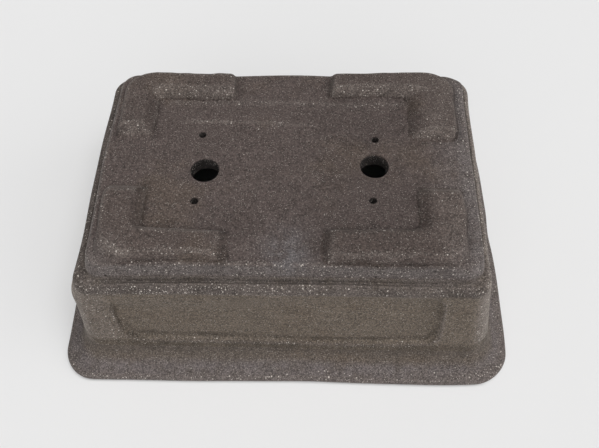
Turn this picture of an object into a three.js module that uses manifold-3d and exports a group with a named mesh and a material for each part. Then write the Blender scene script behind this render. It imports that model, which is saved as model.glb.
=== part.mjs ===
// Slab-built rectangular plant pot, lying upside down on its rim.
//
// Millimetres, +Z up. The origin is the centre of the mouth, on the surface that the rim lies on.
// X runs along the pot, -Y is its front. The pot is made of slabs and strips of clay that are
// luted together with slip: four rim strips, four walls, a floor slab with its holes, four feet
// and the coils pressed into the seam inside. A film of slip separates every two pieces.

import * as THREE from 'three';
import { mergeVertices } from 'three/addons/utils/BufferGeometryUtils.js';
import Module from 'manifold-3d';

// Driving dimensions

const SLIP = 0.3; // film of slip between two luted faces

const RIM_LENGTH = 262; // over the lip
const RIM_WIDTH = 192.5;
const RIM_HEIGHT = 20; // height of the rim strips
const RIM_CORNER_RADIUS = 20; // of the lip, in plan
const LIP_OVERHANG = 14; // lip beyond the foot of the wall
const LIP_THICKNESS = 6.4;
const LIP_RISE = 2.2; // rise of the lip's upper face towards the wall
const MOUTH_EDGE = 3; // rounding of the rim's inner edge

const WALL_HEIGHT = 55; // from the rim strip to the shoulder
const WALL_FLARE = 8.6; // lean of the wall over its height
const WALL_THICKNESS = 10;
const WALL_CORNER_RADIUS = 11; // at the shoulder, in plan
const SHOULDER_ROUND = 4.6; // rounding between wall and ledge
const LEDGE_WIDTH = 5.4; // ledge that is left beside the floor slab
const LEDGE_GROOVE = 0.8; // tooled groove along the ledge
const TONGUE_HEIGHT = 1.9; // rebated end of the wall that carries the floor slab

const PANEL_DEPTH = 2; // pressed panel in each wall
const PANEL_DRAFT = 2.4; // slope of the panel's edge
const PANEL_MARGIN = 22.4; // frame at the panel's ends, from the shoulder's corner
const PANEL_TO_SHOULDER = 5.5; // frame above the panel
const PANEL_TO_RIM = 7.5; // frame below the panel
const PANEL_CORNER_RADIUS = 9;

const FLOOR_THICKNESS = 9.5;
const FLOOR_CORNER_RADIUS = 10; // in plan
const FLOOR_EDGE_RUN = 3.6; // how far the slab's slanted edge leans in
const FLOOR_EDGE_ROUND = 1.6; // rounding along the top of that edge

const DRAIN_DIAMETER = 16.2;
const WIRE_HOLE_DIAMETER = 4.3;

const FOOT_HEIGHT = 6.2;
const FOOT_INSET = 4; // from the slab's foot to the foot's face, at the pot's front and back
const FOOT_END_INSET = 6.4; // the same at the pot's ends
const FOOT_END_RADIUS = 4; // at the floor, in plan
const FOOT_END_TIGHTENING = 1; // how much less that radius is at the top
const FOOT_INNER_RADIUS = 4;
const FOOT_OUTER_SLOPE = 3.4; // run of the outer faces
const FOOT_INNER_SLOPE = 5;
const FOOT_END_SLOPE = 8;
const SEAT_DEPTH = 0.8; // scored bed in the floor slab

const COIL_LEG = 8; // seam coil's legs along wall and floor

// The feet are set by hand. Width of the arm along the pot and of the arm across it, and the
// radius of the outer corner.
const FEET = {
  foot_front_left: { sideX: -1, sideY: -1, alongWidth: 19.8, acrossWidth: 23.2, corner: 9 },
  foot_front_right: { sideX: 1, sideY: -1, alongWidth: 20.4, acrossWidth: 25.3, corner: 9 },
  foot_back_left: { sideX: -1, sideY: 1, alongWidth: 17.6, acrossWidth: 21.1, corner: 14 },
  foot_back_right: { sideX: 1, sideY: 1, alongWidth: 16.8, acrossWidth: 26.8, corner: 14 },
};

// Clear width between the ends of two feet, and how far that gap lies off the middle.
const FOOT_GAPS = {
  front: { width: 46.6, off: -3.9 },
  back: { width: 47.6, off: -3.2 },
  left: { width: 30.2, off: -0.9 },
  right: { width: 30, off: -1 },
};

// Holes: place along and across the clear floor between the feet, and the wire holes' places as
// shares of the strip between the drain hole and the feet behind and before it.
const DRAINS = [
  { along: 0.204, across: 0.416, wires: [{ share: 0.374, off: -3.6 }, { share: -0.411, off: -3.8 }] },
  { along: 0.847, across: 0.453, wires: [{ share: 0.26, off: 0.9 }, { share: -0.44, off: -1.6 }] },
];

const CORNER_STEPS = 4; // facets in 45 degrees of a plan corner
const ROUND_STEPS = 4; // facets in a rounded edge
const HOLE_STEPS = 28;
const WIRE_HOLE_STEPS = 14;
const OVERCUT = 4; // how far a cutter stands past the face it cuts

// Levels and outlines that follow from them

const SHOULDER_Z = RIM_HEIGHT + WALL_HEIGHT;
const TONGUE_Z = SHOULDER_Z + TONGUE_HEIGHT;
const FLOOR_INNER_Z = TONGUE_Z + SLIP;
const FLOOR_Z = FLOOR_INNER_Z + FLOOR_THICKNESS;

const LIP_OFFSET = WALL_FLARE + LIP_OVERHANG;
const HALF_LENGTH = RIM_LENGTH / 2 - LIP_OFFSET; // at the shoulder
const HALF_WIDTH = RIM_WIDTH / 2 - LIP_OFFSET;

// Outward offset of the wall's outer face from the shoulder, at height z.
const wallOffset = (z) => WALL_FLARE * (SHOULDER_Z - z) / WALL_HEIGHT;
const wallInside = (z) => wallOffset(z) - WALL_THICKNESS;

// Plan corner radius at an outward offset from the shoulder.
function cornerRadius(offset) {
  const share = offset > 0 ? offset / LIP_OFFSET : Math.min(1, -offset / LEDGE_WIDTH);
  const far = offset > 0 ? RIM_CORNER_RADIUS : FLOOR_CORNER_RADIUS;
  return WALL_CORNER_RADIUS + (far - WALL_CORNER_RADIUS) * share;
}

// Geometry helpers

const wasm = await Module();
wasm.setup();

const vec2 = (x, y) => new THREE.Vector2(x, y);

// Points of a curve that leaves start towards pull and arrives at end from pull.
const bend = (start, pull, end) => new THREE.QuadraticBezierCurve(start, pull, end).getPoints(ROUND_STEPS);

// Closed outline with right-angled corners rounded by arcs; corners are { x, y, r }.
function roundedOutline(corners, steps) {
  const points = [];
  corners.forEach((corner, i) => {
    const at = vec2(corner.x, corner.y);
    const before = corners.at(i - 1);
    const after = corners[(i + 1) % corners.length];
    const back = vec2(before.x, before.y).sub(at).normalize();
    const ahead = vec2(after.x, after.y).sub(at).normalize();
    const centre = at.clone().addScaledVector(back, corner.r).addScaledVector(ahead, corner.r);
    for (let k = 0; k <= steps; k += 1) {
      const turn = (Math.PI / 2) * (k / steps);
      points.push(centre.clone()
        .addScaledVector(ahead, -corner.r * Math.cos(turn))
        .addScaledVector(back, -corner.r * Math.sin(turn)));
    }
  });
  return points;
}

function rectangle(halfX, halfY, radius, steps) {
  const corners = [[1, 1], [-1, 1], [-1, -1], [1, -1]];
  return roundedOutline(corners.map(([sx, sy]) => ({ x: sx * halfX, y: sy * halfY, r: radius })), steps);
}

const lift = (outline, z) => outline.map((p) => new THREE.Vector3(p.x, p.y, z));

// Triangles of a flat outline, wound the way that the outline runs.
function fill(outline) {
  const triangles = THREE.ShapeUtils.triangulateShape(outline, []);
  return THREE.ShapeUtils.isClockWise(outline) ? triangles.map((t) => t.reverse()) : triangles;
}

// Closed solid through rings of equal count, capped at both ends. The flat outlines of the first
// and the last ring say how the caps are triangulated.
function loft(rings, firstFlat, lastFlat) {
  const count = rings[0].length;
  const index = [];
  for (let r = 0; r + 1 < rings.length; r += 1) {
    for (let k = 0; k < count; k += 1) {
      const a = r * count + k;
      const b = r * count + ((k + 1) % count);
      index.push(a, b, a + count, b, b + count, a + count);
    }
  }
  const last = (rings.length - 1) * count;
  for (const [i, j, k] of fill(firstFlat)) {
    index.push(k, j, i);
  }
  for (const [i, j, k] of fill(lastFlat)) {
    index.push(last + i, last + j, last + k);
  }
  const geometry = new THREE.BufferGeometry().setFromPoints(rings.flat());
  geometry.setIndex(signedVolume(rings.flat(), index) < 0 ? index.reverse() : index);
  return geometry;
}

function signedVolume(points, index) {
  let sum = 0;
  for (let t = 0; t < index.length; t += 3) {
    const [a, b, c] = [points[index[t]], points[index[t + 1]], points[index[t + 2]]];
    sum += a.dot(b.clone().cross(c));
  }
  return sum / 6;
}

function solidOf(geometry) {
  const bare = geometry.clone();
  bare.deleteAttribute('normal');
  bare.deleteAttribute('uv');
  const merged = mergeVertices(bare);
  return new wasm.Manifold(new wasm.Mesh({
    numProp: 3,
    vertProperties: Float32Array.from(merged.attributes.position.array),
    triVerts: Uint32Array.from(merged.index.array),
  }));
}

// The body with every cutter taken out of it.
function cut(body, cutters) {
  const left = cutters.reduce((solid, cutter) => solid.subtract(solidOf(cutter)), solidOf(body));
  const mesh = left.getMesh();
  const geometry = new THREE.BufferGeometry();
  geometry.setAttribute('position', new THREE.BufferAttribute(mesh.vertProperties, 3));
  geometry.setIndex(new THREE.BufferAttribute(mesh.triVerts, 1));
  return geometry;
}

function clay(color, roughness) {
  return new THREE.MeshStandardMaterial({ color, roughness, metalness: 0 });
}

function piece(name, geometry, material) {
  geometry.computeVertexNormals();
  const mesh = new THREE.Mesh(geometry, material);
  mesh.name = name;
  return mesh;
}

// Strips that run along one side of the pot

const SIDES = ['front', 'right', 'back', 'left'];
const CORNERS = [[-1, -1], [1, -1], [1, 1], [-1, 1]];

// Point on the plan outline at an outward offset, at an angle within one corner.
function cornerPoint([sx, sy], angle, offset) {
  const radius = cornerRadius(offset);
  return vec2(
    sx * (HALF_LENGTH + offset - radius) + radius * Math.cos(angle),
    sy * (HALF_WIDTH + offset - radius) + radius * Math.sin(angle),
  );
}

// Sweep of a section, points of (offset, height), along side number k from mitre to mitre.
function sideStrip(k, section) {
  const start = Math.PI * (1.25 + 0.5 * k);
  const eighth = Math.PI / 4;
  const stations = [];
  for (let i = 0; i <= CORNER_STEPS; i += 1) {
    const angle = start + (eighth * i) / CORNER_STEPS;
    stations.push({ corner: CORNERS[k], angle, shift: i === 0 ? 1 : 0 });
  }
  for (let i = 0; i <= CORNER_STEPS; i += 1) {
    const angle = start + eighth + (eighth * i) / CORNER_STEPS;
    stations.push({ corner: CORNERS[(k + 1) % 4], angle, shift: i === CORNER_STEPS ? -1 : 0 });
  }
  const rings = stations.map(({ corner, angle, shift }) => {
    const gap = shift * SLIP / 2;
    return section.map(({ x: offset, y: z }) => {
      const p = cornerPoint(corner, angle, offset);
      return new THREE.Vector3(p.x - gap * Math.sin(angle), p.y + gap * Math.cos(angle), z);
    });
  });
  return loft(rings, section, section);
}

// Rim strip: flat on the table, round lip edge, cove up into the wall.
function rimSection() {
  const lipRadius = LIP_THICKNESS / 2;
  const lipCentre = vec2(LIP_OFFSET - lipRadius, lipRadius);
  const lipEdge = [];
  for (let i = 0; i <= 2 * ROUND_STEPS; i += 1) {
    const turn = Math.PI * (i / (2 * ROUND_STEPS) - 0.5);
    lipEdge.push(vec2(lipRadius * Math.cos(turn), lipRadius * Math.sin(turn)).add(lipCentre));
  }
  const coveFoot = LIP_THICKNESS + LIP_RISE;
  const cove = bend(
    lipEdge.at(-1),
    vec2(wallOffset(coveFoot), coveFoot),
    vec2(wallOffset(RIM_HEIGHT), RIM_HEIGHT),
  );
  const mouth = bend(
    vec2(wallInside(MOUTH_EDGE), MOUTH_EDGE),
    vec2(wallInside(0), 0),
    vec2(wallInside(0) + MOUTH_EDGE, 0),
  );
  return [...mouth, ...lipEdge, ...cove.slice(1), vec2(wallInside(RIM_HEIGHT), RIM_HEIGHT)];
}

// Wall: leaning slab, rounded shoulder, grooved ledge and the tongue that carries the floor.
function wallSection() {
  const foot = RIM_HEIGHT + SLIP;
  const roundStart = SHOULDER_Z - SHOULDER_ROUND;
  const ledgeInner = -LEDGE_WIDTH;
  const shoulder = bend(
    vec2(wallOffset(roundStart), roundStart),
    vec2(0, SHOULDER_Z),
    vec2(-SHOULDER_ROUND + LEDGE_GROOVE, SHOULDER_Z),
  );
  return [
    vec2(wallInside(foot), foot),
    vec2(wallOffset(foot), foot),
    ...shoulder,
    vec2(ledgeInner + LEDGE_GROOVE / 2, SHOULDER_Z - LEDGE_GROOVE),
    vec2(ledgeInner, SHOULDER_Z - LEDGE_GROOVE),
    vec2(ledgeInner, TONGUE_Z),
    vec2(-WALL_THICKNESS, TONGUE_Z),
  ];
}

// Cutter for the pressed panel of side number k, lying in the leaning face of its wall.
function panelCutter(k) {
  const [halfSpan, reach] = k % 2 === 0 ? [HALF_LENGTH, HALF_WIDTH] : [HALF_WIDTH, HALF_LENGTH];
  const lean = Math.atan2(WALL_FLARE, WALL_HEIGHT);
  const low = RIM_HEIGHT + PANEL_TO_RIM;
  const high = SHOULDER_Z - PANEL_TO_SHOULDER;
  const middle = (low + high) / 2;
  const halfRise = (high - low) / (2 * Math.cos(lean));
  const ring = (grow, depth) => lift(
    rectangle(halfSpan - PANEL_MARGIN + grow, halfRise + grow, PANEL_CORNER_RADIUS + grow, ROUND_STEPS),
    depth,
  );
  const rings = [ring(-PANEL_DRAFT, -PANEL_DEPTH), ring(0, 0), ring(0, OVERCUT)];
  const along = new THREE.Vector3(1, 0, 0);
  const up = new THREE.Vector3(0, Math.sin(lean), Math.cos(lean));
  const place = new THREE.Matrix4().makeBasis(along, up, along.clone().cross(up));
  place.setPosition(0, -reach - wallOffset(middle), middle);
  const turn = new THREE.Matrix4().makeRotationZ((Math.PI / 2) * k);
  return loft(rings, rings[0], rings.at(-1)).applyMatrix4(place).applyMatrix4(turn);
}

// Coil pressed into the seam between wall and floor, its face hollowed by the thumb.
function coilSection() {
  const foot = TONGUE_Z - COIL_LEG;
  const wallFace = (z) => wallInside(z) - SLIP;
  const corner = vec2(Math.min(wallFace(TONGUE_Z), -WALL_THICKNESS - SLIP), TONGUE_Z);
  const tip = vec2(corner.x - COIL_LEG, TONGUE_Z);
  const heel = vec2(wallFace(foot), foot);
  const hollow = vec2(corner.x - COIL_LEG / 3, TONGUE_Z - COIL_LEG / 3);
  return [corner, heel, ...bend(heel, hollow, tip).slice(1)];
}

// Floor slab and feet

const slabFoot = -LEDGE_WIDTH; // offset of the slab's underside
const slabTop = slabFoot - FLOOR_EDGE_RUN; // offset where its flat top starts
const footOuterX = HALF_LENGTH + slabFoot - FOOT_END_INSET;
const footOuterY = HALF_WIDTH + slabFoot - FOOT_INSET;

const planOutline = (offset) => rectangle(
  HALF_LENGTH + offset,
  HALF_WIDTH + offset,
  cornerRadius(offset),
  2 * CORNER_STEPS,
);

// Inner faces of a foot's arms, at the floor.
const innerX = (foot) => foot.sideX * (footOuterX - foot.acrossWidth);
const innerY = (foot) => foot.sideY * (footOuterY - foot.alongWidth);

// Ends of a foot's arms, at the gaps to its neighbours.
function armEnds({ sideX, sideY }) {
  const alongGap = sideY < 0 ? FOOT_GAPS.front : FOOT_GAPS.back;
  const acrossGap = sideX < 0 ? FOOT_GAPS.left : FOOT_GAPS.right;
  return {
    x: alongGap.off + sideX * alongGap.width / 2,
    y: acrossGap.off + sideY * acrossGap.width / 2,
  };
}

// L-shaped outline of a foot, drawn in by its slopes; drawn is 0 at the floor and 1 at the top.
function footOutline(foot, drawn, spare) {
  const { sideX, sideY } = foot;
  const outer = spare - FOOT_OUTER_SLOPE * drawn;
  const inner = spare - FOOT_INNER_SLOPE * drawn;
  const end = spare - FOOT_END_SLOPE * drawn;
  const ends = armEnds(foot);
  const x = {
    outer: sideX * (footOuterX + outer),
    inner: innerX(foot) - sideX * inner,
    end: ends.x - sideX * end,
  };
  const y = {
    outer: sideY * (footOuterY + outer),
    inner: innerY(foot) - sideY * inner,
    end: ends.y - sideY * end,
  };
  const endRadius = FOOT_END_RADIUS + spare - FOOT_END_TIGHTENING * drawn;
  return roundedOutline([
    { x: x.outer, y: y.outer, r: foot.corner + outer / 2 },
    { x: x.end, y: y.outer, r: endRadius },
    { x: x.end, y: y.inner, r: endRadius },
    { x: x.inner, y: y.inner, r: FOOT_INNER_RADIUS - inner / 2 },
    { x: x.inner, y: y.end, r: endRadius },
    { x: x.outer, y: y.end, r: endRadius },
  ], ROUND_STEPS);
}

// Pillow-edged foot, from its bed in the slab to its flat top.
function footBody(foot) {
  const rings = [lift(footOutline(foot, 0, 0), FLOOR_Z - SEAT_DEPTH + SLIP)];
  for (let i = 0; i <= ROUND_STEPS; i += 1) {
    const turn = (Math.PI / 2) * (i / ROUND_STEPS);
    rings.push(lift(footOutline(foot, 1 - Math.cos(turn), 0), FLOOR_Z + FOOT_HEIGHT * Math.sin(turn)));
  }
  return loft(rings, rings[0], rings.at(-1));
}

function footBed(foot) {
  const outline = footOutline(foot, 0, SLIP);
  return loft([lift(outline, FLOOR_Z - SEAT_DEPTH), lift(outline, FLOOR_Z + OVERCUT)], outline, outline);
}

function holeCutter({ x, y }, diameter, steps) {
  const depth = FLOOR_THICKNESS + 2 * OVERCUT;
  const hole = new THREE.CylinderGeometry(diameter / 2, diameter / 2, depth, steps);
  return hole.rotateX(Math.PI / 2).translate(x, y, FLOOR_INNER_Z + FLOOR_THICKNESS / 2);
}

const between = (low, high, share) => low + (high - low) * share;

// Cutters for one drain hole and the wire holes behind and before it.
function drainCutters({ along, across, wires }) {
  const side = along < 0.5 ? 'left' : 'right';
  const front = FEET[`foot_front_${side}`];
  const back = FEET[`foot_back_${side}`];
  const drain = {
    x: between(innerX(FEET.foot_front_left), innerX(FEET.foot_front_right), along),
    y: between(innerY(front), innerY(back), across),
  };
  const wireCutters = wires.map(({ share, off }) => {
    const edge = drain.y + Math.sign(share) * DRAIN_DIAMETER / 2;
    const y = between(edge, innerY(share > 0 ? back : front), Math.abs(share));
    return holeCutter({ x: drain.x + off, y }, WIRE_HOLE_DIAMETER, WIRE_HOLE_STEPS);
  });
  return [holeCutter(drain, DRAIN_DIAMETER, HOLE_STEPS), ...wireCutters];
}

function floorSlab() {
  const rings = [
    lift(planOutline(slabFoot), FLOOR_INNER_Z),
    lift(planOutline(slabTop + FLOOR_EDGE_ROUND), FLOOR_Z - FLOOR_EDGE_ROUND),
    lift(planOutline(slabTop + FLOOR_EDGE_ROUND / 3), FLOOR_Z - FLOOR_EDGE_ROUND / 3),
    lift(planOutline(slabTop), FLOOR_Z),
  ];
  const body = loft(rings, rings[0], rings.at(-1));
  const beds = Object.values(FEET).map(footBed);
  return cut(body, [...beds, ...DRAINS.flatMap(drainCutters)]);
}

// The pot

const pot = new THREE.Group();
SIDES.forEach((side, k) => {
  const wall = cut(sideStrip(k, wallSection()), [panelCutter(k)]);
  pot.add(piece(`${side}_rim`, sideStrip(k, rimSection()), clay(0x5c5453, 0.92)));
  pot.add(piece(`${side}_wall`, wall, clay(0x564d43, 0.94)));
  pot.add(piece(`${side}_seam_coil`, sideStrip(k, coilSection()), clay(0x4e463f, 0.95)));
});
pot.add(piece('floor_slab', floorSlab(), clay(0x524a46, 0.93)));
for (const [name, foot] of Object.entries(FEET)) {
  pot.add(piece(name, footBody(foot), clay(0x544b45, 0.93)));
}

export default pot;
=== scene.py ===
import math
from functools import reduce
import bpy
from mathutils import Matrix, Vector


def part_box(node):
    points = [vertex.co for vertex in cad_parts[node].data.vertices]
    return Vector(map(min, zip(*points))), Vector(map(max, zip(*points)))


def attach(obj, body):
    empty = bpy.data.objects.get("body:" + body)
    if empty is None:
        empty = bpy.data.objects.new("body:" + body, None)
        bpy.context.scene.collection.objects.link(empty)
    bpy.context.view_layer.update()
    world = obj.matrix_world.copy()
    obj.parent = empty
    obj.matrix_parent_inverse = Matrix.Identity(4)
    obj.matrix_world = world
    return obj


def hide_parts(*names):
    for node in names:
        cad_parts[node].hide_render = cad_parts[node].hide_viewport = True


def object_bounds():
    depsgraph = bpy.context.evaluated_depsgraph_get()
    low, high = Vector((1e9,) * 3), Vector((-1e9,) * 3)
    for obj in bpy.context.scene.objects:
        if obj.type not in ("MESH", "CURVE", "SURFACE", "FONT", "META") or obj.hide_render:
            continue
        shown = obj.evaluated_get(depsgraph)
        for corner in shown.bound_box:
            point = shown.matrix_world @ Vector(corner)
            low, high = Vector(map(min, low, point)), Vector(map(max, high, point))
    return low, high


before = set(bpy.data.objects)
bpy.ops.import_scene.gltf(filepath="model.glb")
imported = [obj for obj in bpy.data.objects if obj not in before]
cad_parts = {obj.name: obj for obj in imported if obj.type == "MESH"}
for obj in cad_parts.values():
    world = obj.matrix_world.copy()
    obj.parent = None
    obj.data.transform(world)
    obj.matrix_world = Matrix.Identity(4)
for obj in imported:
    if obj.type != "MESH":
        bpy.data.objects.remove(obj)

from types import SimpleNamespace
from typing import NamedTuple

import bpy
import numpy as np
from bpy.props import FloatProperty, FloatVectorProperty, PointerProperty
from mathutils import Matrix, Vector
from mathutils.geometry import delaunay_2d_cdt

bl_info = {
    "name": "Slab-built Clay Pot",
    "version": (1, 0, 0),
    "blender": (4, 5, 0),
    "location": "View3D > Sidebar > Clay Pot",
    "description": "Builds an unglazed rectangular plant pot, lying on its rim, round its packed frame",
    "category": "Add Mesh",
}

# What the frame gives, in metres
CAD_LOW, CAD_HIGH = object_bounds()
RIM_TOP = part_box("front_rim")[1].z
SLAB_LOW, SLAB_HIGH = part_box("floor_slab")
FEET = ("foot_front_left", "foot_front_right", "foot_back_left", "foot_back_right")
FOOT_BOXES = {name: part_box(name) for name in FEET}

# Meshes are worked out in millimetres
MM = 1000.0

# The sides in turn: the corner that each starts from, the way it runs and the way it faces
SIDES = ("front", "right", "back", "left")
CORNER_SIGNS = np.array([(-1, -1), (1, -1), (1, 1), (-1, 1)], float)
ALONG = np.array([(1, 0), (0, 1), (-1, 0), (0, -1)], float)
OUTWARD = np.array([(0, -1), (1, 0), (0, 1), (-1, 0)], float)

# Fineness of the meshes: numbers of steps, steps in millimetres, and angles
CORNER_STEPS = 13
CURVE_STEPS = 12
ARC_STEPS = 16
COIL_STEPS = 14
DRAIN_STEPS = 72
WIRE_STEPS = 28
STRAIGHT_STEP = 1.5
INNER_STEP = 3.0
FINE_STEP = 0.1
EDGE_STEP = 0.55
EDGE_REACH = 3.3
BASE_STEP = 1.7
UNDER_STEP = 4.0
FOOT_STEP = 1.4
FOOT_TOP_STEP = 1.6
FOOT_TOP_CLEAR = 0.9
MITRE_SLIVER = math.radians(0.15)
PROFILE_TURN = math.radians(5)
SHARP_ANGLE = math.radians(42)
# Points closer than this share of a step are one
CLOSEST = 0.3

# Film of slip between the pieces, and how deep the feet are sunk in the base
SLIP = 0.3
SINK = 0.12


# Sizes, colours and stage

def size(name, description, default):
    """A length property, in metres."""
    return FloatProperty(
        name=name, description=description, default=default, min=0.0,
        precision=4, subtype="DISTANCE", unit="LENGTH")


def tint(name, description, default):
    """A colour property, in linear light."""
    return FloatVectorProperty(
        name=name, description=description, default=default,
        size=3, min=0.0, max=1.0, subtype="COLOR")


def share(name, description, default, top=1.0):
    """A plain number from nought to top."""
    return FloatProperty(name=name, description=description, default=default, min=0.0, max=top)


class PotSizes(bpy.types.PropertyGroup):
    """Sizes of the clay pieces that the frame's boxes do not give."""

    lip_thickness: size("Lip thickness", "Height of the rim's rounded edge", 0.0064)
    lip_overhang: size("Lip overhang", "Lip beyond the foot of the wall", 0.014)
    lip_rise: size("Lip rise", "Rise of the lip's upper face towards the wall", 0.0022)
    lip_corner: size("Lip corner", "Plan radius of the lip's corners", 0.020)
    mouth_edge: size("Mouth edge", "Rounding of the rim's inner edge", 0.003)
    wall_thickness: size("Wall thickness", "Thickness of the four walls", 0.010)
    wall_corner: size("Wall corner", "Plan radius of the shoulder's corners", 0.011)
    slab_corner: size("Slab corner", "Plan radius of the floor slab's corners", 0.010)
    shoulder_round: size("Shoulder rounding", "Rounding between wall and ledge", 0.0046)
    ledge_width: size("Ledge width", "Ledge left beside the floor slab", 0.0054)
    groove_depth: size("Groove depth", "Tooled groove where ledge and slab meet", 0.0017)
    tongue_height: size("Tongue height", "Wall above its shoulder, under the slab", 0.0019)
    softening: size("Softening", "How far the sponge has rounded the profile", 0.0005)
    panel_margin: size("Panel margin", "Frame at the panel's ends", 0.0224)
    panel_low: size("Panel foot", "Frame between rim strip and panel", 0.0075)
    panel_high: size("Panel head", "Frame between panel and shoulder", 0.0055)
    panel_depth: size("Panel depth", "Depth of the pressed panels", 0.0024)
    panel_corner: size("Panel corner", "Radius of the panel's corners", 0.009)
    panel_edge: size("Panel edge", "Width of the panel's sloping edge", 0.0030)
    slab_overlap: size("Slab overlap", "How far the slab's right end was pressed out over the ledge", 0.0018)
    slab_edge_run: size("Slab edge run", "How far the slab's edge leans in", 0.0036)
    slab_edge_round: size("Slab edge rounding", "Rounding along the slab's top", 0.0016)
    drain_diameter: size("Drain hole", "Diameter of the drain holes", 0.0157)
    wire_diameter: size("Wire hole", "Diameter of the wire holes", 0.0043)
    hole_edge: size("Hole edge", "Rounding of the holes' edges", 0.0004)
    foot_end: size("Foot end", "Plan radius at the ends of a foot", 0.004)
    foot_outer_slope: size("Foot outer slope", "Run of a foot's outer faces", 0.0034)
    foot_inner_slope: size("Foot inner slope", "Run of a foot's inner faces", 0.0050)
    foot_end_slope: size("Foot end slope", "Run of a foot's ends", 0.008)
    foot_fillet: size("Foot fillet", "Smeared clay round a foot's base", 0.0009)
    coil_leg: size("Coil leg", "Seam coil's legs along wall and floor", 0.008)
    wander: size("Wander", "How far hand building leaves the pot out of true", 0.00028)


class PotClay(bpy.types.PropertyGroup):
    """Colours of the fired clay."""

    base: tint("Base", "Clay of the floor slab", (0.0785, 0.0604, 0.0552))
    wall: tint("Wall", "Clay of the walls", (0.122, 0.099, 0.079))
    rim: tint("Rim", "Clay of the rim strips", (0.106, 0.087, 0.074))
    foot: tint("Feet", "Clay of the feet", (0.0785, 0.0603, 0.0537))
    seam: tint("Seam coils", "Clay of the coils inside", (0.078, 0.064, 0.055))
    grey: tint("Grey", "Skin that fired grey", (0.117, 0.101, 0.099))
    # Colour of rubbed ridges and edges, also painted as highlight where light falls on slopes, edges and
    # corners
    worn: tint("Worn", "Rubbed edges between their grains", (0.122, 0.102, 0.093))
    warm: tint("Warm", "Brown flashes in the skin", (0.106, 0.079, 0.058))
    grog: tint("Grog", "Pale grains in the clay", (0.560, 0.510, 0.465))
    # Near black, painted into the pits as the shade inside them
    pit: tint("Pits", "Small holes that grains have left", (0.022, 0.017, 0.015))
    dust: tint("Dust", "Rubbed patch on the base", (0.128, 0.120, 0.124))
    # Painted both as the pale skin of handled corners and as highlight on the walls' lit corners and edges,
    # the right shoulder and the feet's front slopes
    corner: tint("Corners", "Pale skin of the walls' handled corners", (0.218, 0.188, 0.166))


class PotStage(bpy.types.PropertyGroup):
    """Floor, light and camera."""

    floor: tint("Floor", "Pale studio floor", (0.80, 0.803, 0.81))
    ambient: share("Ambient", "Light from all round", 0.16, 4.0)
    key: share("Key", "Soft light from above", 2.22, 20.0)
    front: share("Front", "Soft light from the front", 0.56, 20.0)
    side: share("Side", "Soft light from the right", 0.62, 20.0)
    lens: FloatProperty(
        name="Lens", description="Focal length for a 36 mm wide frame",
        default=42.40, min=1.0, subtype="DISTANCE_CAMERA", unit="CAMERA")


# Measures of the whole pot

def measures(scene):
    """Levels and outlines in millimetres, from the sizes and the frame."""
    sizes = scene.pot_sizes
    m = SimpleNamespace(**{key: getattr(sizes, key) * MM for key in sizes.__annotations__})
    m.half_x = SLAB_HIGH.x * MM + m.ledge_width
    m.half_y = SLAB_HIGH.y * MM + m.ledge_width
    m.lip_offset = CAD_HIGH.x * MM - m.half_x
    m.flare = m.lip_offset - m.lip_overhang
    m.rim_z = RIM_TOP * MM
    m.floor_z = SLAB_HIGH.z * MM
    m.top_z = CAD_HIGH.z * MM
    m.foot_height = m.top_z - m.floor_z
    m.joint_z = round(SLAB_LOW.z * MM, 1)
    m.shoulder_z = m.joint_z - m.tongue_height - SLIP
    m.reach = np.array((CAD_HIGH.x, CAD_HIGH.y, CAD_HIGH.z)) * MM
    return m


def wall_offset(m, z):
    """Outward offset of the wall's outer face from the shoulder, at height z."""
    return m.flare * (m.shoulder_z - z) / (m.shoulder_z - m.rim_z)


def wall_inside(m, z):
    """Offset of the wall's inner face at height z."""
    return wall_offset(m, z) - m.wall_thickness


def corner_radius(m, offset):
    """Plan corner radius at an outward offset from the shoulder."""
    out = (m.lip_corner - m.wall_corner) * offset / m.lip_offset
    inward = (m.slab_corner - m.wall_corner) * np.minimum(1.0, -offset / m.ledge_width)
    return m.wall_corner + np.where(offset > 0, out, inward)


# Masks, points and curves

def smoothstep(none, full, value):
    """Soft step from nought at one place to one at another, whichever comes first."""
    t = np.clip((value - none) / (full - none), 0.0, 1.0)
    return t * t * (3.0 - 2.0 * t)


def between(value, start, end):
    """One between two soft steps, each given by where it is nought and where it is one."""
    return smoothstep(*start, value) * smoothstep(*end, value)


def bell(value, centre, reach):
    """One at the centre, falling away over reach on both sides."""
    return np.exp(-((value - centre) / reach) ** 2)


def patch(x, y, place, reach):
    """One at a place in plan, falling away over a reach along the pot and one across it."""
    return bell(x, place[0], reach[0]) * bell(y, place[1], reach[1])


def most(*masks):
    """The largest of several masks at each point."""
    return reduce(np.maximum, masks)


def strongest(strengths, **masks):
    """The strongest of several marks at each point, by the strength that each name has."""
    return most(*(strengths[key] * mask for key, mask in masks.items()))


def past_corner(over_a, over_b):
    """Distance past two edges that meet in a corner, below nought inside both."""
    outside = np.hypot(np.maximum(over_a, 0.0), np.maximum(over_b, 0.0))
    return outside + np.minimum(np.maximum(over_a, over_b), 0.0)


def level(plan, z):
    """Plan points, all at one height."""
    return np.column_stack((plan, np.full(len(plan), z)))


def raised(plan, heights):
    """Rows of plan points, with a height for each row."""
    heights = np.broadcast_to(heights[:, None, None], plan.shape[:2] + (1,))
    return np.concatenate((plan, heights), axis=2)


def bent(start, pull, end, steps=CURVE_STEPS):
    """Points of a curve that leaves start towards pull and reaches end from it."""
    t = np.linspace(0.0, 1.0, steps + 1)[:, None]
    start, pull, end = (np.array(p, float) for p in (start, pull, end))
    return (1 - t) ** 2 * start + 2 * t * (1 - t) * pull + t ** 2 * end


def arc(centre, radius, first, last):
    """Points of a circle's arc, between two angles in degrees."""
    turn = np.radians(np.linspace(first, last, ARC_STEPS + 1))
    return np.array(centre) + radius * np.column_stack((np.cos(turn), np.sin(turn)))


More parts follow.
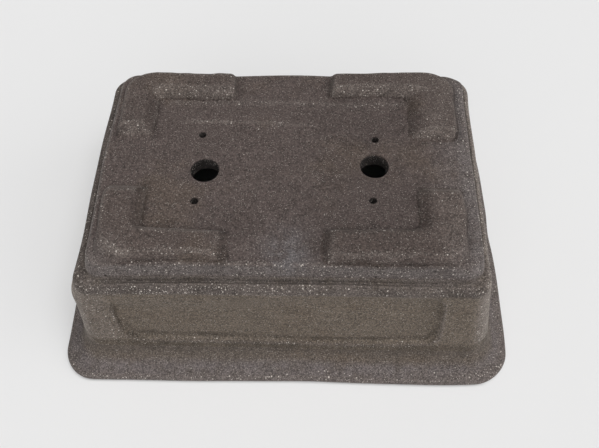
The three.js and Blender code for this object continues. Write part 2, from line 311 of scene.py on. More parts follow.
def resample(points, spacing):
    """The same polyline at an even spacing."""
    length = np.concatenate(([0.0], np.cumsum(np.linalg.norm(np.diff(points, axis=0), axis=1))))
    count = max(2, int(round(length[-1] / spacing)) + 1)
    at = np.linspace(0.0, length[-1], count)
    return np.column_stack([np.interp(at, length, points[:, i]) for i in range(2)])


def softened(points, reach, longest):
    """The polyline rounded off over reach, with points close together where it turns."""
    fine = resample(np.asarray(points, float), FINE_STEP)
    half = int(3 * reach / FINE_STEP)
    kernel = np.exp(-0.5 * (np.arange(-half, half + 1) * FINE_STEP / reach) ** 2)
    kernel /= kernel.sum()
    before = 2 * fine[0] - fine[half:0:-1]
    after = 2 * fine[-1] - fine[-2:-half - 2:-1]
    padded = np.concatenate((before, fine, after))
    round_off = np.column_stack([np.convolve(padded[:, i], kernel, "valid") for i in range(2)])
    step = np.diff(round_off, axis=0)
    heading = np.unwrap(np.arctan2(step[:, 1], step[:, 0]))
    effort = np.linalg.norm(step, axis=1) / longest
    effort[1:] += np.abs(np.diff(heading)) / PROFILE_TURN
    run = np.concatenate(([0.0], np.cumsum(effort)))
    at = np.linspace(0.0, run[-1], int(math.ceil(run[-1])) + 1)
    return np.column_stack([np.interp(at, run, round_off[:, i]) for i in range(2)])


def refined(values, centres, reach, step):
    """Sorted values with more of them, a step apart, close to each centre."""
    extra = [np.arange(c - reach, c + reach, step) for c in centres]
    merged = np.sort(np.concatenate((values, *extra)))
    merged = merged[(merged >= values[0]) & (merged <= values[-1])]
    keep = np.concatenate(([True], np.diff(merged) > CLOSEST * step))
    return merged[keep]


def split_at(points, z):
    """The two parts of a rising polyline, below and above height z, sharing the point at z."""
    above = int(np.argmax(points[:, 1] >= z))
    a, b = points[above - 1], points[above]
    cut = a + (b - a) * (z - a[1]) / (b[1] - a[1])
    return np.vstack((points[:above], cut)), np.vstack((cut, points[above:]))


# Number of waves, and the shortest and longest as shares of the wavelength that is asked for
WAVES = 8
WAVE_SPREAD = (0.7, 1.4)


def wander(points, seed, wavelength, amount):
    """Slow uneven shift, the same for every piece at the same place."""
    rng = np.random.default_rng(seed)
    shift = np.zeros_like(points)
    for _ in range(WAVES):
        heading = rng.normal(size=3)
        heading /= np.linalg.norm(heading)
        pace = 2 * math.pi / (wavelength * rng.uniform(*WAVE_SPREAD))
        phase = rng.uniform(0, 2 * math.pi)
        way = rng.normal(size=3)
        shift += np.outer(np.sin(points @ heading * pace + phase), way)
    return shift * amount / math.sqrt(WAVES / 2)


# Marks of hand building, in millimetres

# Holes in the floor slab
DRAIN_PLACES = ((-43.88, -6.55), (49.16, -2.49))
WIRE_PLACES = ((-47.48, 18.42), (-47.68, -26.90), (50.06, 16.49), (47.56, -25.22))

# Unevenness of the whole pot: seed, wavelength and share of the wander
POT_WAVES = ((11, 85.0, 1.0), (12, 38.0, 0.4))

# Places where the soft clay was pushed: centre, reach and shift
PUSHES = (
    ((-116, -78, 52), (22, 24, 17), (-2.0, -0.2, 0.0)),
    ((-102, -67, 76), (13, 14, 11), (-0.5, -1.5, 0.0)),
    ((-110, -74, 61), (14, 18, 8), (-2.1, 0.0, 0.0)),
    ((102, -67, 78), (12, 12, 9), (0.6, -1.2, 0.0)),
    ((-108, -2, 78), (40, 36, 34), (-1.4, 0.0, 0.0)),
    ((-34, -46, 91), (30, 9, 9), (0.0, -2.4, 0.0)),
    ((106, 72, 72), (14, 14, 8), (1.3, 2.2, 0.0)),
    ((101, 60, 86), (9, 9, 6), (1.2, 1.6, 0.0)),
    ((109, 22, 74), (20, 16, 12), (0.7, 0.0, 0.0)),
    ((-99, 64, 80), (14, 14, 14), (0.6, 0.2, 0.0)),
    ((0, 72, 82), (160, 30, 26), (0.0, 0.7, 0.0)),
    ((70, 64, 97), (26, 24, 8), (0.0, 2.5, 0.0)),
    ((30, 64, 94), (16, 24, 16), (0.0, -1.0, 0.0)),
    ((-62, 64, 94), (46, 24, 16), (0.0, -0.8, 0.0)),
    ((-88, 62, 92), (12, 20, 12), (0.0, -1.2, 0.0)),
    ((-43, 62, 93), (14, 20, 10), (0.0, -0.7, 0.0)),
    ((18, -96, 3), (36, 16, 14), (0.0, 0.6, 0.0)),
    ((131, 96, 3), (34, 50, 14), (-3.0, -1.0, 0.0)),
    ((131, 7, 4), (24, 12, 14), (-1.2, 0.0, 0.0)),
    ((131, -96, 3), (24, 24, 14), (-1.8, 1.8, 0.0)),
    ((-131, -78, 3), (20, 26, 14), (1.4, 0.0, 0.0)),
)

# Steps that the trowel left on the base: rise, and where it starts and ends along and across
BACK_STEP_SPAN = ((-66.0, -52.0), (30.0, 0.0))
TROWEL_STEPS = (
    (0.42, BACK_STEP_SPAN, ((26.4, 28.2), (44.0, 31.0))),
    (0.22, ((-30.0, -24.0), (12.0, 4.0)), ((-44.4, -46.0), (-58.0, -48.0))),
)

# Ridges along the back feet: where each starts and ends, its line across the pot, reach and rise
BACK_RIDGES = (((-74.0, -66.0), (-24.0, -32.0)), ((26.0, 34.0), (72.0, 64.0)))
BACK_RIDGE_Y = 43.0
BACK_RIDGE_REACH = 1.2
BACK_RIDGE_RISE = 0.24

# Hollow pressed round each drain hole
DRAIN_HOLLOW = 0.45
DRAIN_HOLLOW_REACH = 15.0

# Where the base fired darker, and how far its right end is rubbed
RIGHT_TONE = 0.34
RIGHT_TONE_SPAN = ((-30.0, 45.0), (86.0, 66.0))
RIGHT_RUBS = ((0.35, (72.0, 90.0)), (0.45, (92.0, 99.0)))

# The slab's front corners, and how far wiped slip and handling reach round them
FRONT_CORNER = (101.0, -66.0)
WIPED_REACH = 15.0
HANDLED_REACH = 17.0

# Slip wiped into the groove: how much of it is filled, how wide, how high and how evenly
WIPED_FILL = 0.75
WIPED_WIDTH = 1.8
WIPED_HEIGHT = 1.0
WIPED_GAIN = 1.6

# Where the slab's right end is pressed out over the ledge
OVERLAP_SPAN = (96.5, 101.0)
OVERLAP_DROP = 0.5

# Heights over which the pot stops lying level, and depth of the marks on the base
LEVEL_SPAN = (3.0, 40.0)
MARK_DEPTH = 3.0

# How softly points turn away from the frame's box, and what counts as lying on the table
BOX_SOFTNESS = 0.4
ON_TABLE = 0.01


def floor_marks(x, y):
    """Rise of the base left by the trowel and by pressing round the drain holes."""
    rise = sum(step * between(x, *span_x) * between(y, *span_y)
               for step, span_x, span_y in TROWEL_STEPS)
    for span in BACK_RIDGES:
        rise += BACK_RIDGE_RISE * between(x, *span) * bell(y, BACK_RIDGE_Y, BACK_RIDGE_REACH)
    for hole_x, hole_y in DRAIN_PLACES:
        rise -= DRAIN_HOLLOW * bell(np.hypot(x - hole_x, y - hole_y), 0.0, DRAIN_HOLLOW_REACH)
    return rise


def right_tone(x):
    """How dark the base fired towards the right."""
    return RIGHT_TONE * between(x, *RIGHT_TONE_SPAN)


def right_margin(x):
    """How far the base is rubbed at its right end."""
    return sum(part * smoothstep(*span, x) for part, span in RIGHT_RUBS)


def beyond_slab(m, x, y):
    """Distance in plan beyond the foot of the slab's edge, below nought inside it."""
    over_x = np.abs(x) - (SLAB_HIGH.x * MM - m.slab_corner)
    over_y = np.abs(y) - (SLAB_HIGH.y * MM - m.slab_corner)
    return past_corner(over_x, over_y) - m.slab_corner


def front_corner(x, y, reach):
    """One at the slab's two front corners, falling away over reach."""
    return patch(np.abs(x), y, FRONT_CORNER, (reach, reach))


def hand_built(m, points):
    """The trued-up pot's points, moved as far as hands left it out of true."""
    shift = sum(wander(points, seed, wavelength, part * m.wander)
                for seed, wavelength, part in POT_WAVES)
    for centre, reach, way in PUSHES:
        away = ((points - np.array(centre)) / np.array(reach)) ** 2
        shift += np.outer(np.exp(-away.sum(axis=1)), way)
    x, y, z = points.T
    shift[:, 2] *= smoothstep(*LEVEL_SPAN, z)
    shift[:, 2] += floor_marks(x, y) * smoothstep(m.floor_z - MARK_DEPTH, m.floor_z, z)
    # The slab's right end hangs over the ledge
    over = smoothstep(m.shoulder_z - OVERLAP_DROP, m.joint_z, z)
    shift[:, 0] += m.slab_overlap * over * smoothstep(*OVERLAP_SPAN, x)
    # Slip was wiped into the groove at the front corners
    groove = bell(beyond_slab(m, x, y), 0.0, WIPED_WIDTH)
    groove *= bell(z, m.shoulder_z - m.groove_depth, WIPED_HEIGHT)
    wiped = np.minimum(1.0, WIPED_GAIN * front_corner(x, y, WIPED_REACH))
    shift[:, 2] += WIPED_FILL * m.groove_depth * groove * wiped
    moved = points + shift
    # Nothing passes the frame's box
    for axis in range(3):
        spare = m.reach[axis] - np.abs(moved[:, axis])
        spare = 0.5 * (spare + np.sqrt(spare ** 2 + BOX_SOFTNESS ** 2))
        moved[:, axis] = np.sign(points[:, axis]) * (m.reach[axis] - spare)
    moved[:, 2] = np.where(points[:, 2] < ON_TABLE, 0.0, moved[:, 2])
    return moved


# Profiles: points of (offset, height)

# How far the ledge falls from the shoulder, and how far the slab's band reaches on to the base
LEDGE_FALL = 0.2
BAND_REACH = 4.0


def outer_profile(m):
    """From the mouth's edge round the lip, up the wall and over the shoulder to the base."""
    lip_radius = m.lip_thickness / 2
    lip_centre = (m.lip_offset - lip_radius, lip_radius)
    cove_foot = m.lip_thickness + m.lip_rise
    round_start = m.shoulder_z - m.shoulder_round
    slab_top = -m.ledge_width - m.slab_edge_run
    groove_z = m.shoulder_z - m.groove_depth
    edge = m.slab_edge_round
    parts = (
        [(wall_inside(m, 0) + m.mouth_edge, 0.0)],
        arc(lip_centre, lip_radius, -90, 90),
        bent((lip_centre[0], m.lip_thickness),
             (wall_offset(m, cove_foot), cove_foot),
             (wall_offset(m, m.rim_z), m.rim_z))[1:],
        bent((wall_offset(m, round_start), round_start),
             (0.0, m.shoulder_z),
             (-0.7 * m.shoulder_round, m.shoulder_z - LEDGE_FALL)),
        [(-m.ledge_width + 0.5 * m.groove_depth, groove_z), (-m.ledge_width, groove_z)],
        bent((slab_top + edge, m.floor_z - 1.4 * edge),
             (slab_top + 0.7 * edge, m.floor_z),
             (slab_top - 0.6 * edge, m.floor_z)),
        [(slab_top - BAND_REACH, m.floor_z)],
    )
    return softened(np.vstack([np.asarray(p, float) for p in parts]), m.softening, STRAIGHT_STEP)


def rim_outline(m):
    """Closed section of a rim strip, down its inner face, round the lip and up its outer face."""
    outer, _ = split_at(outer_profile(m), m.rim_z)
    mouth = np.vstack((
        [(wall_inside(m, m.rim_z), m.rim_z)],
        bent((wall_inside(m, m.mouth_edge), m.mouth_edge),
             (wall_inside(m, 0), 0.0),
             (wall_inside(m, 0) + m.mouth_edge, 0.0)),
    ))
    mouth = softened(mouth, m.softening, INNER_STEP)
    mouth[:, 1] = np.maximum(mouth[:, 1], 0.0)
    outer[:, 1] = np.maximum(outer[:, 1], 0.0)
    return np.vstack((mouth[:-1], outer))


def wall_outline(m):
    """Section of a wall in two parts: its outer skin upwards, and its inner face downwards."""
    _, above = split_at(outer_profile(m), m.rim_z)
    skin, _ = split_at(above, m.joint_z)
    straight = skin[:, 1] < m.shoulder_z - m.shoulder_round
    rising = skin[straight]
    z = refined(rising[:, 1], panel_frame(m, 0)[1], EDGE_REACH, EDGE_STEP)
    rising = np.column_stack((np.interp(z, rising[:, 1], rising[:, 0]), z))
    skin = np.vstack((rising, skin[~straight]))
    inner = resample(np.array((
        (wall_inside(m, m.joint_z), m.joint_z),
        (wall_inside(m, m.rim_z), m.rim_z),
    )), INNER_STEP)
    inner[:, 0] = np.minimum(inner[:, 0], inner[-1, 0])
    return skin, inner


def coil_outline(m):
    """Closed section of a seam coil, its face hollowed by the thumb."""
    foot = m.joint_z - m.coil_leg
    corner = (wall_inside(m, m.joint_z), m.joint_z)
    heel = (wall_inside(m, foot), foot)
    tip = (corner[0] - m.coil_leg, m.joint_z)
    hollow = (corner[0] - m.coil_leg / 3, m.joint_z - m.coil_leg / 3)
    return np.vstack((corner, bent(heel, hollow, tip, COIL_STEPS)))


# Stations along the sides

def side_stations(m, k, step, close=()):
    """Angle and share of the straight run, at each station of side k from mitre to mitre."""
    start = math.pi * (1.25 + 0.5 * k)
    eighth = math.pi / 4
    turn = np.linspace(0.0, eighth, CORNER_STEPS + 1)
    turn = np.insert(turn, 1, MITRE_SLIVER)
    straight = 2 * (m.half_x if k % 2 == 0 else m.half_y) - 2 * m.wall_corner
    run = np.linspace(-straight / 2, straight / 2, int(straight / step) + 1)
    if close:
        run = refined(run, close, EDGE_REACH, EDGE_STEP)
    run = (run[1:-1] / straight) + 0.5
    angle = np.concatenate((start + turn, np.full(len(run), start + eighth),
                            start + 2 * eighth - turn[::-1]))
    along = np.concatenate((np.zeros(len(turn)), run, np.ones(len(turn))))
    return angle, along


def plan_points(m, k, offsets, angle, along):
    """Plan points of side k, one row for each offset and one column for each station."""
    offsets = np.asarray(offsets, float)
    radius = corner_radius(m, offsets)
    half = np.column_stack((m.half_x + offsets - radius, m.half_y + offsets - radius))
    first = half * CORNER_SIGNS[k]
    last = half * CORNER_SIGNS[(k + 1) % 4]
    centre = first[:, None] + (last - first)[:, None] * along[None, :, None]
    way = np.column_stack((np.cos(angle), np.sin(angle)))
    return centre + radius[:, None, None] * way[None]


# Meshes

# Edges shorter than this, in millimetres, count as this long, and the bend is evened out this often
SHORTEST_EDGE = 0.2
BEND_ROUNDS = 3

# Bend per millimetre at which wear on ridges and painted shade in hollows start, and at which they are full
RIDGE_BEND = (0.02, 0.13)
HOLLOW_BEND = (0.02, 0.15)


def grid_faces(rows, columns, closed_rows=False, closed_columns=False, first=0):
    """Quads of a grid of points stored row after row."""
    r = np.arange(rows if closed_rows else rows - 1)
    c = np.arange(columns if closed_columns else columns - 1)
    r, c = (g.ravel() for g in np.meshgrid(r, c, indexing="ij"))
    r2, c2 = (r + 1) % rows, (c + 1) % columns
    corners = (r * columns + c, r * columns + c2, r2 * columns + c2, r2 * columns + c)
    return (np.column_stack(corners) + first).tolist()


def bend_of(points, faces):
    """Bend at each point per millimetre, above nought on ridges and below it in hollows."""
    normal = np.zeros_like(points)
    pairs = []
    for sides in (3, 4):
        corners = np.array([f for f in faces if len(f) == sides])
        if not len(corners):
            continue
        a, b, c, d = (points[corners[:, i]] for i in (0, 1, 2, -1))
        for i in range(sides):
            np.add.at(normal, corners[:, i], np.cross(c - a, d - b))
            pairs.append(np.column_stack((corners[:, i], corners[:, (i + 1) % sides])))
    normal /= np.maximum(np.linalg.norm(normal, axis=1), 1e-9)[:, None]
    a, b = np.unique(np.sort(np.vstack(pairs), axis=1), axis=0).T
    gap = points[b] - points[a]
    along = ((normal[b] - normal[a]) * gap).sum(axis=1)
    along /= np.maximum((gap ** 2).sum(axis=1), SHORTEST_EDGE ** 2)
    count = np.zeros(len(points))
    total = np.zeros(len(points))
    for end in (a, b):
        np.add.at(count, end, 1.0)
        np.add.at(total, end, along)
    count = np.maximum(count, 1.0)
    bend = total / count
    for _ in range(BEND_ROUNDS):
        spread = np.zeros(len(points))
        np.add.at(spread, a, bend[b])
        np.add.at(spread, b, bend[a])
        bend = 0.5 * bend + 0.5 * spread / count
    return bend


def make_piece(name, slot, material, m, points, faces, skin_faces,
               grey=0.0, rub_and_highlight=0.0, shade_and_tone=0.0, dust=0.0, wear=0.8, crease=0.5):
    """One clay piece of the pot, standing for the frame's solid of that name.

    Its marks, in this order, hold for the whole piece or for each point: where the skin fired grey,
    where it is rubbed or a highlight is painted on, where painted shade, and in places a darker
    firing, darkens it, where it is dusty or pale from handling and painted highlight, how much its
    ridges are rubbed and how much painted shade darkens its hollows. One is full, and two is as dark
    as the painted shade down a deep bore.
    """
    points = hand_built(m, np.asarray(points, float))
    bend = bend_of(points, skin_faces)
    mesh = bpy.data.meshes.new(name + "_clay")
    mesh.from_pydata((points / MM).tolist(), [], faces)
    if mesh.validate():
        raise RuntimeError(f"{name}: the mesh had faces that are not valid")
    mesh.polygons.foreach_set("use_smooth", np.ones(len(mesh.polygons), bool))
    mesh.set_sharp_from_angle(angle=SHARP_ANGLE)
    # Rubbed ridges with the rubbing and painted highlight given make one mask; painted shade in creases with
    # the painted shade and darker firing given make the hollow mask
    masks = {
        "worn": most(wear * smoothstep(*RIDGE_BEND, bend), rub_and_highlight),
        "hollow": most(crease * smoothstep(*HOLLOW_BEND, -bend), shade_and_tone),
        "grey": grey,
        "dust": dust,
    }
    for key, values in masks.items():
        layer = mesh.attributes.new(key, "FLOAT", "POINT")
        values = np.broadcast_to(values, len(points))
        layer.data.foreach_set("value", np.ascontiguousarray(values, np.float32))
    mesh.materials.append(material)
    piece = bpy.data.objects.new(name + "_clay", mesh)
    bpy.context.scene.collection.objects.link(piece)
    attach(piece, "root")
    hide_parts(name)


def side_mesh(m, k, outline, step, close=()):
    """Grid of points of a strip along side k with that section, and its number of columns."""
    angle, along = side_stations(m, k, step, close)
    plan = plan_points(m, k, outline[:, 0], angle, along)
    return raised(plan, outline[:, 1]), len(angle)


def closed_strip(rows, columns, joints):
    """Faces of a closed strip, its end caps, and the faces on its skin."""
    quads = grid_faces(rows, columns, closed_rows=True)
    per_row = columns - 1
    skin = [q for i, q in enumerate(quads) if i // per_row not in joints]
    first_cap = [r * columns for r in range(rows)]
    last_cap = [r * columns + columns - 1 for r in reversed(range(rows))]
    return quads + [first_cap, last_cap], skin


# Clay

# Layout of the nodes: how many stand in a row, how far apart they are and how far left they start
NODES_IN_ROW = 9
NODE_PITCH = (220, 240)
NODES_START = -1800

# Sockets of a mix of two colours
MIX_FACTOR, MIX_FIRST, MIX_SECOND = 0, 6, 7
MIX_RESULT = 2


class ClayBench:
    """Adds nodes to one material or world, each wired as it is laid down."""

    def __init__(self, tree):
        self.tree = tree
        self.count = 0

    def lay(self, kind, **settings):
        """A new node with these settings."""
        row, column = divmod(self.count, NODES_IN_ROW)
        node = self.tree.nodes.new(kind)
        node.location = (NODES_START + NODE_PITCH[0] * column, NODE_PITCH[1] * row)
        self.count += 1
        for key, value in settings.items():
            setattr(node, key, value)
        return node

    def feed(self, socket, value):
        """Links another socket to this one, or sets its number or colour."""
        if isinstance(value, bpy.types.NodeSocket):
            self.tree.links.new(value, socket)
        else:
            socket.default_value = value

    def math(self, operation, a, b):
        """The result of an operation on two numbers."""
        node = self.lay("ShaderNodeMath", operation=operation)
        self.feed(node.inputs[0], a)
        self.feed(node.inputs[1], b)
        return node.outputs[0]

    def span(self, value, low, high, to_low, to_high):
        """The value moved softly from one range to another."""
        node = self.lay("ShaderNodeMapRange", interpolation_type="SMOOTHSTEP")
        for socket, given in zip(node.inputs, (value, low, high, to_low, to_high)):
            self.feed(socket, given)
        return node.outputs[0]

    def blend(self, factor, first, second, mode="MIX"):
        """Two colours mixed, more of the second with a larger factor."""
        node = self.lay("ShaderNodeMix", data_type="RGBA", blend_type=mode, clamp_factor=True)
        self.feed(node.inputs[MIX_FACTOR], factor)
        self.feed(node.inputs[MIX_FIRST], first)
        self.feed(node.inputs[MIX_SECOND], second)
        return node.outputs[MIX_RESULT]

    def noise(self, place, pitch, detail, roughness):
        """Soft noise with waves of that pitch."""
        node = self.lay("ShaderNodeTexNoise")
        self.feed(node.inputs["Vector"], place)
        self.feed(node.inputs["Scale"], 1.0 / pitch)
        self.feed(node.inputs["Detail"], detail)
        self.feed(node.inputs["Roughness"], roughness)
        return node.outputs["Fac"]

    def grains(self, place, pitch):
        """Distance to the nearest grain, and two random numbers for that grain."""
        node = self.lay("ShaderNodeTexVoronoi")
        self.feed(node.inputs["Vector"], place)
        self.feed(node.inputs["Scale"], 1.0 / pitch)
        lot = self.lay("ShaderNodeSeparateColor")
        self.feed(lot.inputs[0], node.outputs["Color"])
        return self.math("MULTIPLY", node.outputs["Distance"], pitch), lot.outputs[0], lot.outputs[1]

    def mask(self, name):
        """A mask that the mesh carries."""
        return self.lay("ShaderNodeAttribute", attribute_name=name).outputs["Fac"]


def opaque(colour):
    """A colour property as a socket's four numbers."""
    return (*colour, 1.0)


# Grog by size: pitch, share of grains on the skin and on rubbed edges and painted highlights, least and
# most radius in millimetres, and how pale
GROG = (
    (0.70, 0.45, 0.60, 0.10, 0.24, 0.49),
    (1.20, 0.008, 0.44, 0.16, 0.32, 0.80),
    (1.80, 0.0026, 0.60, 0.22, 0.42, 1.00),
    (3.20, 0.000, 0.45, 0.28, 0.48, 1.00),
)

# How pale the grains are in each clay, as a share of that
WALL_PALENESS = 1.10
BASE_PALENESS = 0.90
FOOT_PALENESS = 0.92

# Pits that grains have left: pitch, share that is open, least and most radius in millimetres
PIT_PITCH = 7.0
PIT_SHARE = 0.16
PIT_RADII = (0.25, 0.55)

# Deep pits in the slab's front edge: place and radius in millimetres, and how they are squeezed
DEEP_PITS = ((-90.4, -68.4, 78.2), (48.1, -68.0, 78.2))
DEEP_PIT_RADIUS = 0.8
DEEP_PIT_SQUEEZE = (1.0, 0.3, 1.6)

# The clay's unevenness: pitch in millimetres, detail and roughness
DRIFT = (34.0, 3.0, 0.5)
MOTTLE = (6.0, 4.0, 0.6)
TOOTH = (0.9, 2.0, 0.7)
BREAKS = (13.0, 2.0, 0.5)

# Ramps from noise or a mask to a share: low and high end, and the shares at these
WARM_RAMP = (0.50, 0.72, 0.0, 0.40)
PATCH_RAMP = (0.34, 0.58, 0.60, 1.0)
SMEAR_RAMP = (0.35, 0.60, 0.35, 1.0)
BREAK_RAMP = (0.35, 0.62, 0.65, 1.10)
MOTTLE_SHADE = (0.25, 0.75, 0.90, 1.10)
TOOTH_SHADE = (0.30, 0.70, -0.55, 0.55)
HOLLOW_SHADE = (0.0, 1.0, 1.0, 0.50)
BORE_SHADE = (1.1, 1.7, 1.0, 0.45)
ROUGHNESS_RAMP = (0.2, 0.8, 0.82, 0.98)
SHEEN_RAMP = (0.0, 0.6, 0.15, 0.0)

# Relief of tooth, mottling, grains and pits, in millimetres
TOOTH_RELIEF = 0.30
MOTTLE_RELIEF = 0.55
GRAIN_RELIEF = 0.10
PIT_RELIEF = -0.45

# Gloss of the dry clay
SHEEN_ROUGHNESS = 0.35
SHEEN_TINT = (1.0, 0.92, 0.84, 1.0)
GLOSS = 0.22


def pale_grains(bench, place, worn, colour, clay, paleness):
    """The colour with grog in it, more where it is worn or painted with highlight, and a mask of the grains.
    """
    speck = 0.0
    for pitch, rare, common, small, large, strength in GROG:
        away, lot, lot2 = bench.grains(place, pitch)
        chosen = bench.math("LESS_THAN", lot, bench.span(worn, 0.0, 1.0, rare, common))
        near = bench.math("LESS_THAN", away, bench.span(lot2, 0.0, 1.0, small, large))
        found = bench.math("MULTIPLY", chosen, near)
        pale = bench.math("MULTIPLY", found, min(strength * paleness, 1.0))
        colour = bench.blend(pale, colour, opaque(clay.grog))
        speck = bench.math("ADD", found, speck)
    return colour, speck


def pit_mask(bench, place, deep_pits):
    """Mask of the small pits all over the skin and of the deep ones at their places."""
    away, lot, lot2 = bench.grains(place, PIT_PITCH)
    near = bench.math("LESS_THAN", away, bench.span(lot2, 0.0, 1.0, *PIT_RADII))
    pit = bench.math("MULTIPLY", bench.math("LESS_THAN", lot, PIT_SHARE), near)
    for centre in deep_pits:
        squeezed = bench.lay("ShaderNodeVectorMath", operation="MULTIPLY")
        bench.feed(squeezed.inputs[0], place)
        bench.feed(squeezed.inputs[1], DEEP_PIT_SQUEEZE)
        gap = bench.lay("ShaderNodeVectorMath", operation="DISTANCE")
        bench.feed(gap.inputs[0], squeezed.outputs[0])
        bench.feed(gap.inputs[1], [a * b for a, b in zip(centre, DEEP_PIT_SQUEEZE)])
        deep = bench.math("LESS_THAN", gap.outputs["Value"], DEEP_PIT_RADIUS)
        pit = bench.math("MAXIMUM", pit, deep)
    return pit


def clay_material(name, skin, dusty, clay, paleness=1.0, deep_pits=()):
    """Unglazed sandy clay: drifting colour, pale grog, pits painted dark as the shade in them, rubbed edges
    with painted highlights, and painted shade in hollows.
    """
    material = bpy.data.materials.new(name)
    material.use_nodes = True
    bench = ClayBench(material.node_tree)
    shader = material.node_tree.nodes["Principled BSDF"]
    place = bench.lay("ShaderNodeMapping")
    place.inputs["Scale"].default_value = (MM, MM, MM)
    bench.feed(place.inputs["Vector"], bench.lay("ShaderNodeTexCoord").outputs["Object"])
    place = place.outputs[0]

    worn = bench.mask("worn")
    drift, mottle, tooth, breaks = (
        bench.noise(place, *kind) for kind in (DRIFT, MOTTLE, TOOTH, BREAKS))
    # The hollow mask holds painted shade, and in places a darker firing; noise breaks it up
    hollow = bench.math("MULTIPLY", bench.mask("hollow"), bench.span(breaks, *BREAK_RAMP))
    patchy = bench.span(mottle, *PATCH_RAMP)
    smeared = bench.span(mottle, *SMEAR_RAMP)

    colour = bench.blend(bench.span(drift, *WARM_RAMP), opaque(skin), opaque(clay.warm))
    # Grey skin; the rubbed colour, also painted as highlight; and the dusty colour, which on walls and feet
    # also paints highlight
    for mask, spread, tone in (
        (bench.mask("grey"), patchy, clay.grey),
        (worn, patchy, clay.worn),
        (bench.mask("dust"), smeared, dusty),
    ):
        colour = bench.blend(bench.math("MULTIPLY", mask, spread), colour, opaque(tone))
    # Random mottle and tooth, darkened by the painted shade of the hollow mask, most of all down the bores
    shade = bench.math("ADD", bench.span(mottle, *MOTTLE_SHADE), bench.span(tooth, *TOOTH_SHADE))
    for ramp in (HOLLOW_SHADE, BORE_SHADE):
        shade = bench.math("MULTIPLY", shade, bench.span(hollow, *ramp))
    grey = bench.lay("ShaderNodeCombineColor")
    for socket in grey.inputs:
        bench.feed(socket, shade)
    colour = bench.blend(1.0, colour, grey.outputs[0], "MULTIPLY")
    colour, speck = pale_grains(bench, place, worn, colour, clay, paleness)
    # Pits painted near black, as the shade inside them
    pit = pit_mask(bench, place, deep_pits)
    colour = bench.blend(pit, colour, opaque(clay.pit))

    height = bench.math("MULTIPLY", tooth, TOOTH_RELIEF)
    for mask, relief in ((mottle, MOTTLE_RELIEF), (speck, GRAIN_RELIEF), (pit, PIT_RELIEF)):
        height = bench.math("ADD", height, bench.math("MULTIPLY", mask, relief))
    bump = bench.lay("ShaderNodeBump")
    bump.inputs["Strength"].default_value = 1.0
    bump.inputs["Distance"].default_value = 1.0 / MM
    bench.feed(bump.inputs["Height"], height)

    bench.feed(shader.inputs["Base Color"], colour)
    bench.feed(shader.inputs["Roughness"], bench.span(tooth, *ROUGHNESS_RAMP))
    bench.feed(shader.inputs["Normal"], bump.outputs[0])
    bench.feed(shader.inputs["Sheen Weight"], bench.span(hollow, *SHEEN_RAMP))
    shader.inputs["Sheen Roughness"].default_value = SHEEN_ROUGHNESS
    shader.inputs["Sheen Tint"].default_value = SHEEN_TINT
    shader.inputs["Specular IOR Level"].default_value = GLOSS
    return material


# Rims

# Heights in millimetres and as shares of the rim's, places along the pot and strengths of the marks
RIM_GREY_FULL = 1.0
RIM_GREY_TOP = 0.64
RIM_COVE = (0.5, 1.0)
RIM_LEFT_END = (-112.0, -120.0)
RIM_RIGHT_HALF = (60.0, 110.0)
# Painted shade in the cove under the wall, and on the left end, away from the light
RIM_SHADE = {"cove": 0.36, "left_end": 0.35}
LIP_RUB = 0.16
# Painted highlight on the lip's right half, where light from the right falls
LIP_RIGHT_HIGHLIGHT = 0.40
RIM_WEAR = 0.6


class POT_OT_rims(bpy.types.Operator):
    """Lay the four rim strips round the mouth."""

    bl_idname = "pot.rims"
    bl_label = "Rim Strips"

    def execute(self, context):
        m = measures(context.scene)
        clay = context.scene.pot_clay
        material = clay_material("rim_clay", clay.rim, clay.dust, clay)
        outline = rim_outline(m)
        for k, side in enumerate(SIDES):
            points, columns = side_mesh(m, k, outline, STRAIGHT_STEP)
            faces, skin = closed_strip(len(outline), columns, {len(outline) - 1})
            points = points.reshape(-1, 3)
            make_piece(f"{side}_rim", "rim_clay", material, m, points, faces, skin,
                       wear=RIM_WEAR, **self.marks(m, points))
        return {"FINISHED"}

    def marks(self, m, points):
        """Where a rim strip is grey, darkened by painted shade, and rubbed, with a painted highlight on its
        right half.
        """
        x, _, z = points.T
        edge = smoothstep(m.lip_thickness + m.lip_rise, m.lip_thickness, z)
        return {
            "grey": smoothstep(RIM_GREY_TOP * m.rim_z, m.lip_thickness + RIM_GREY_FULL, z),
            "shade_and_tone": strongest(RIM_SHADE, cove=smoothstep(*RIM_COVE, z / m.rim_z),
                               left_end=smoothstep(*RIM_LEFT_END, x)),
            "rub_and_highlight": edge * (LIP_RUB + LIP_RIGHT_HIGHLIGHT * smoothstep(*RIM_RIGHT_HALF, x)),
        }


# Walls

# How far each panel is off the middle of its side, and how far its right end leans
PANEL_OFF = (-3.0, 0.0, 0.0, 0.0)
PANEL_LEAN = 0.07

# The front panel's foot sags right of its middle, and is steeper there
SAG_CENTRE = 20.0
SAG_REACH = 55.0
SAG_DEPTH = 1.5
SAG_STEEPER = 0.5

# Width of a panel's slope as a share of its edge's, and how much steeper it is at the ends
SLOPE_WIDTH = 1.4
LEFT_END_STEEPER = 0.2
RIGHT_END_STEEPER = 0.3
END_SPAN = (-6.0, 6.0)

# Across the slope, in its own widths: where it goes down, and where it meets the panel
SLOPE_DOWN = (0.6, -0.4)
SLOPE_FOOT = ((-1.8, -0.7), (0.0, -0.4))

# The press ran out towards the shoulder, sooner at the panel's left end
FADE_START = 0.6
FADE_LATER = 0.15
FADE_SPAN = (-50.0, 50.0)
FADE_RUN = 15.0
FADE_SHARE = 0.9

# Line of a tool on the front ledge, in millimetres
TOOL_LINE_OFFSET = -2.0
TOOL_LINE_REACH = 0.5
TOOL_LINE_DEPTH = 0.3
TOOL_LINE_SPAN = (-30.0, 20.0)
LEDGE_DEPTH = 3.0

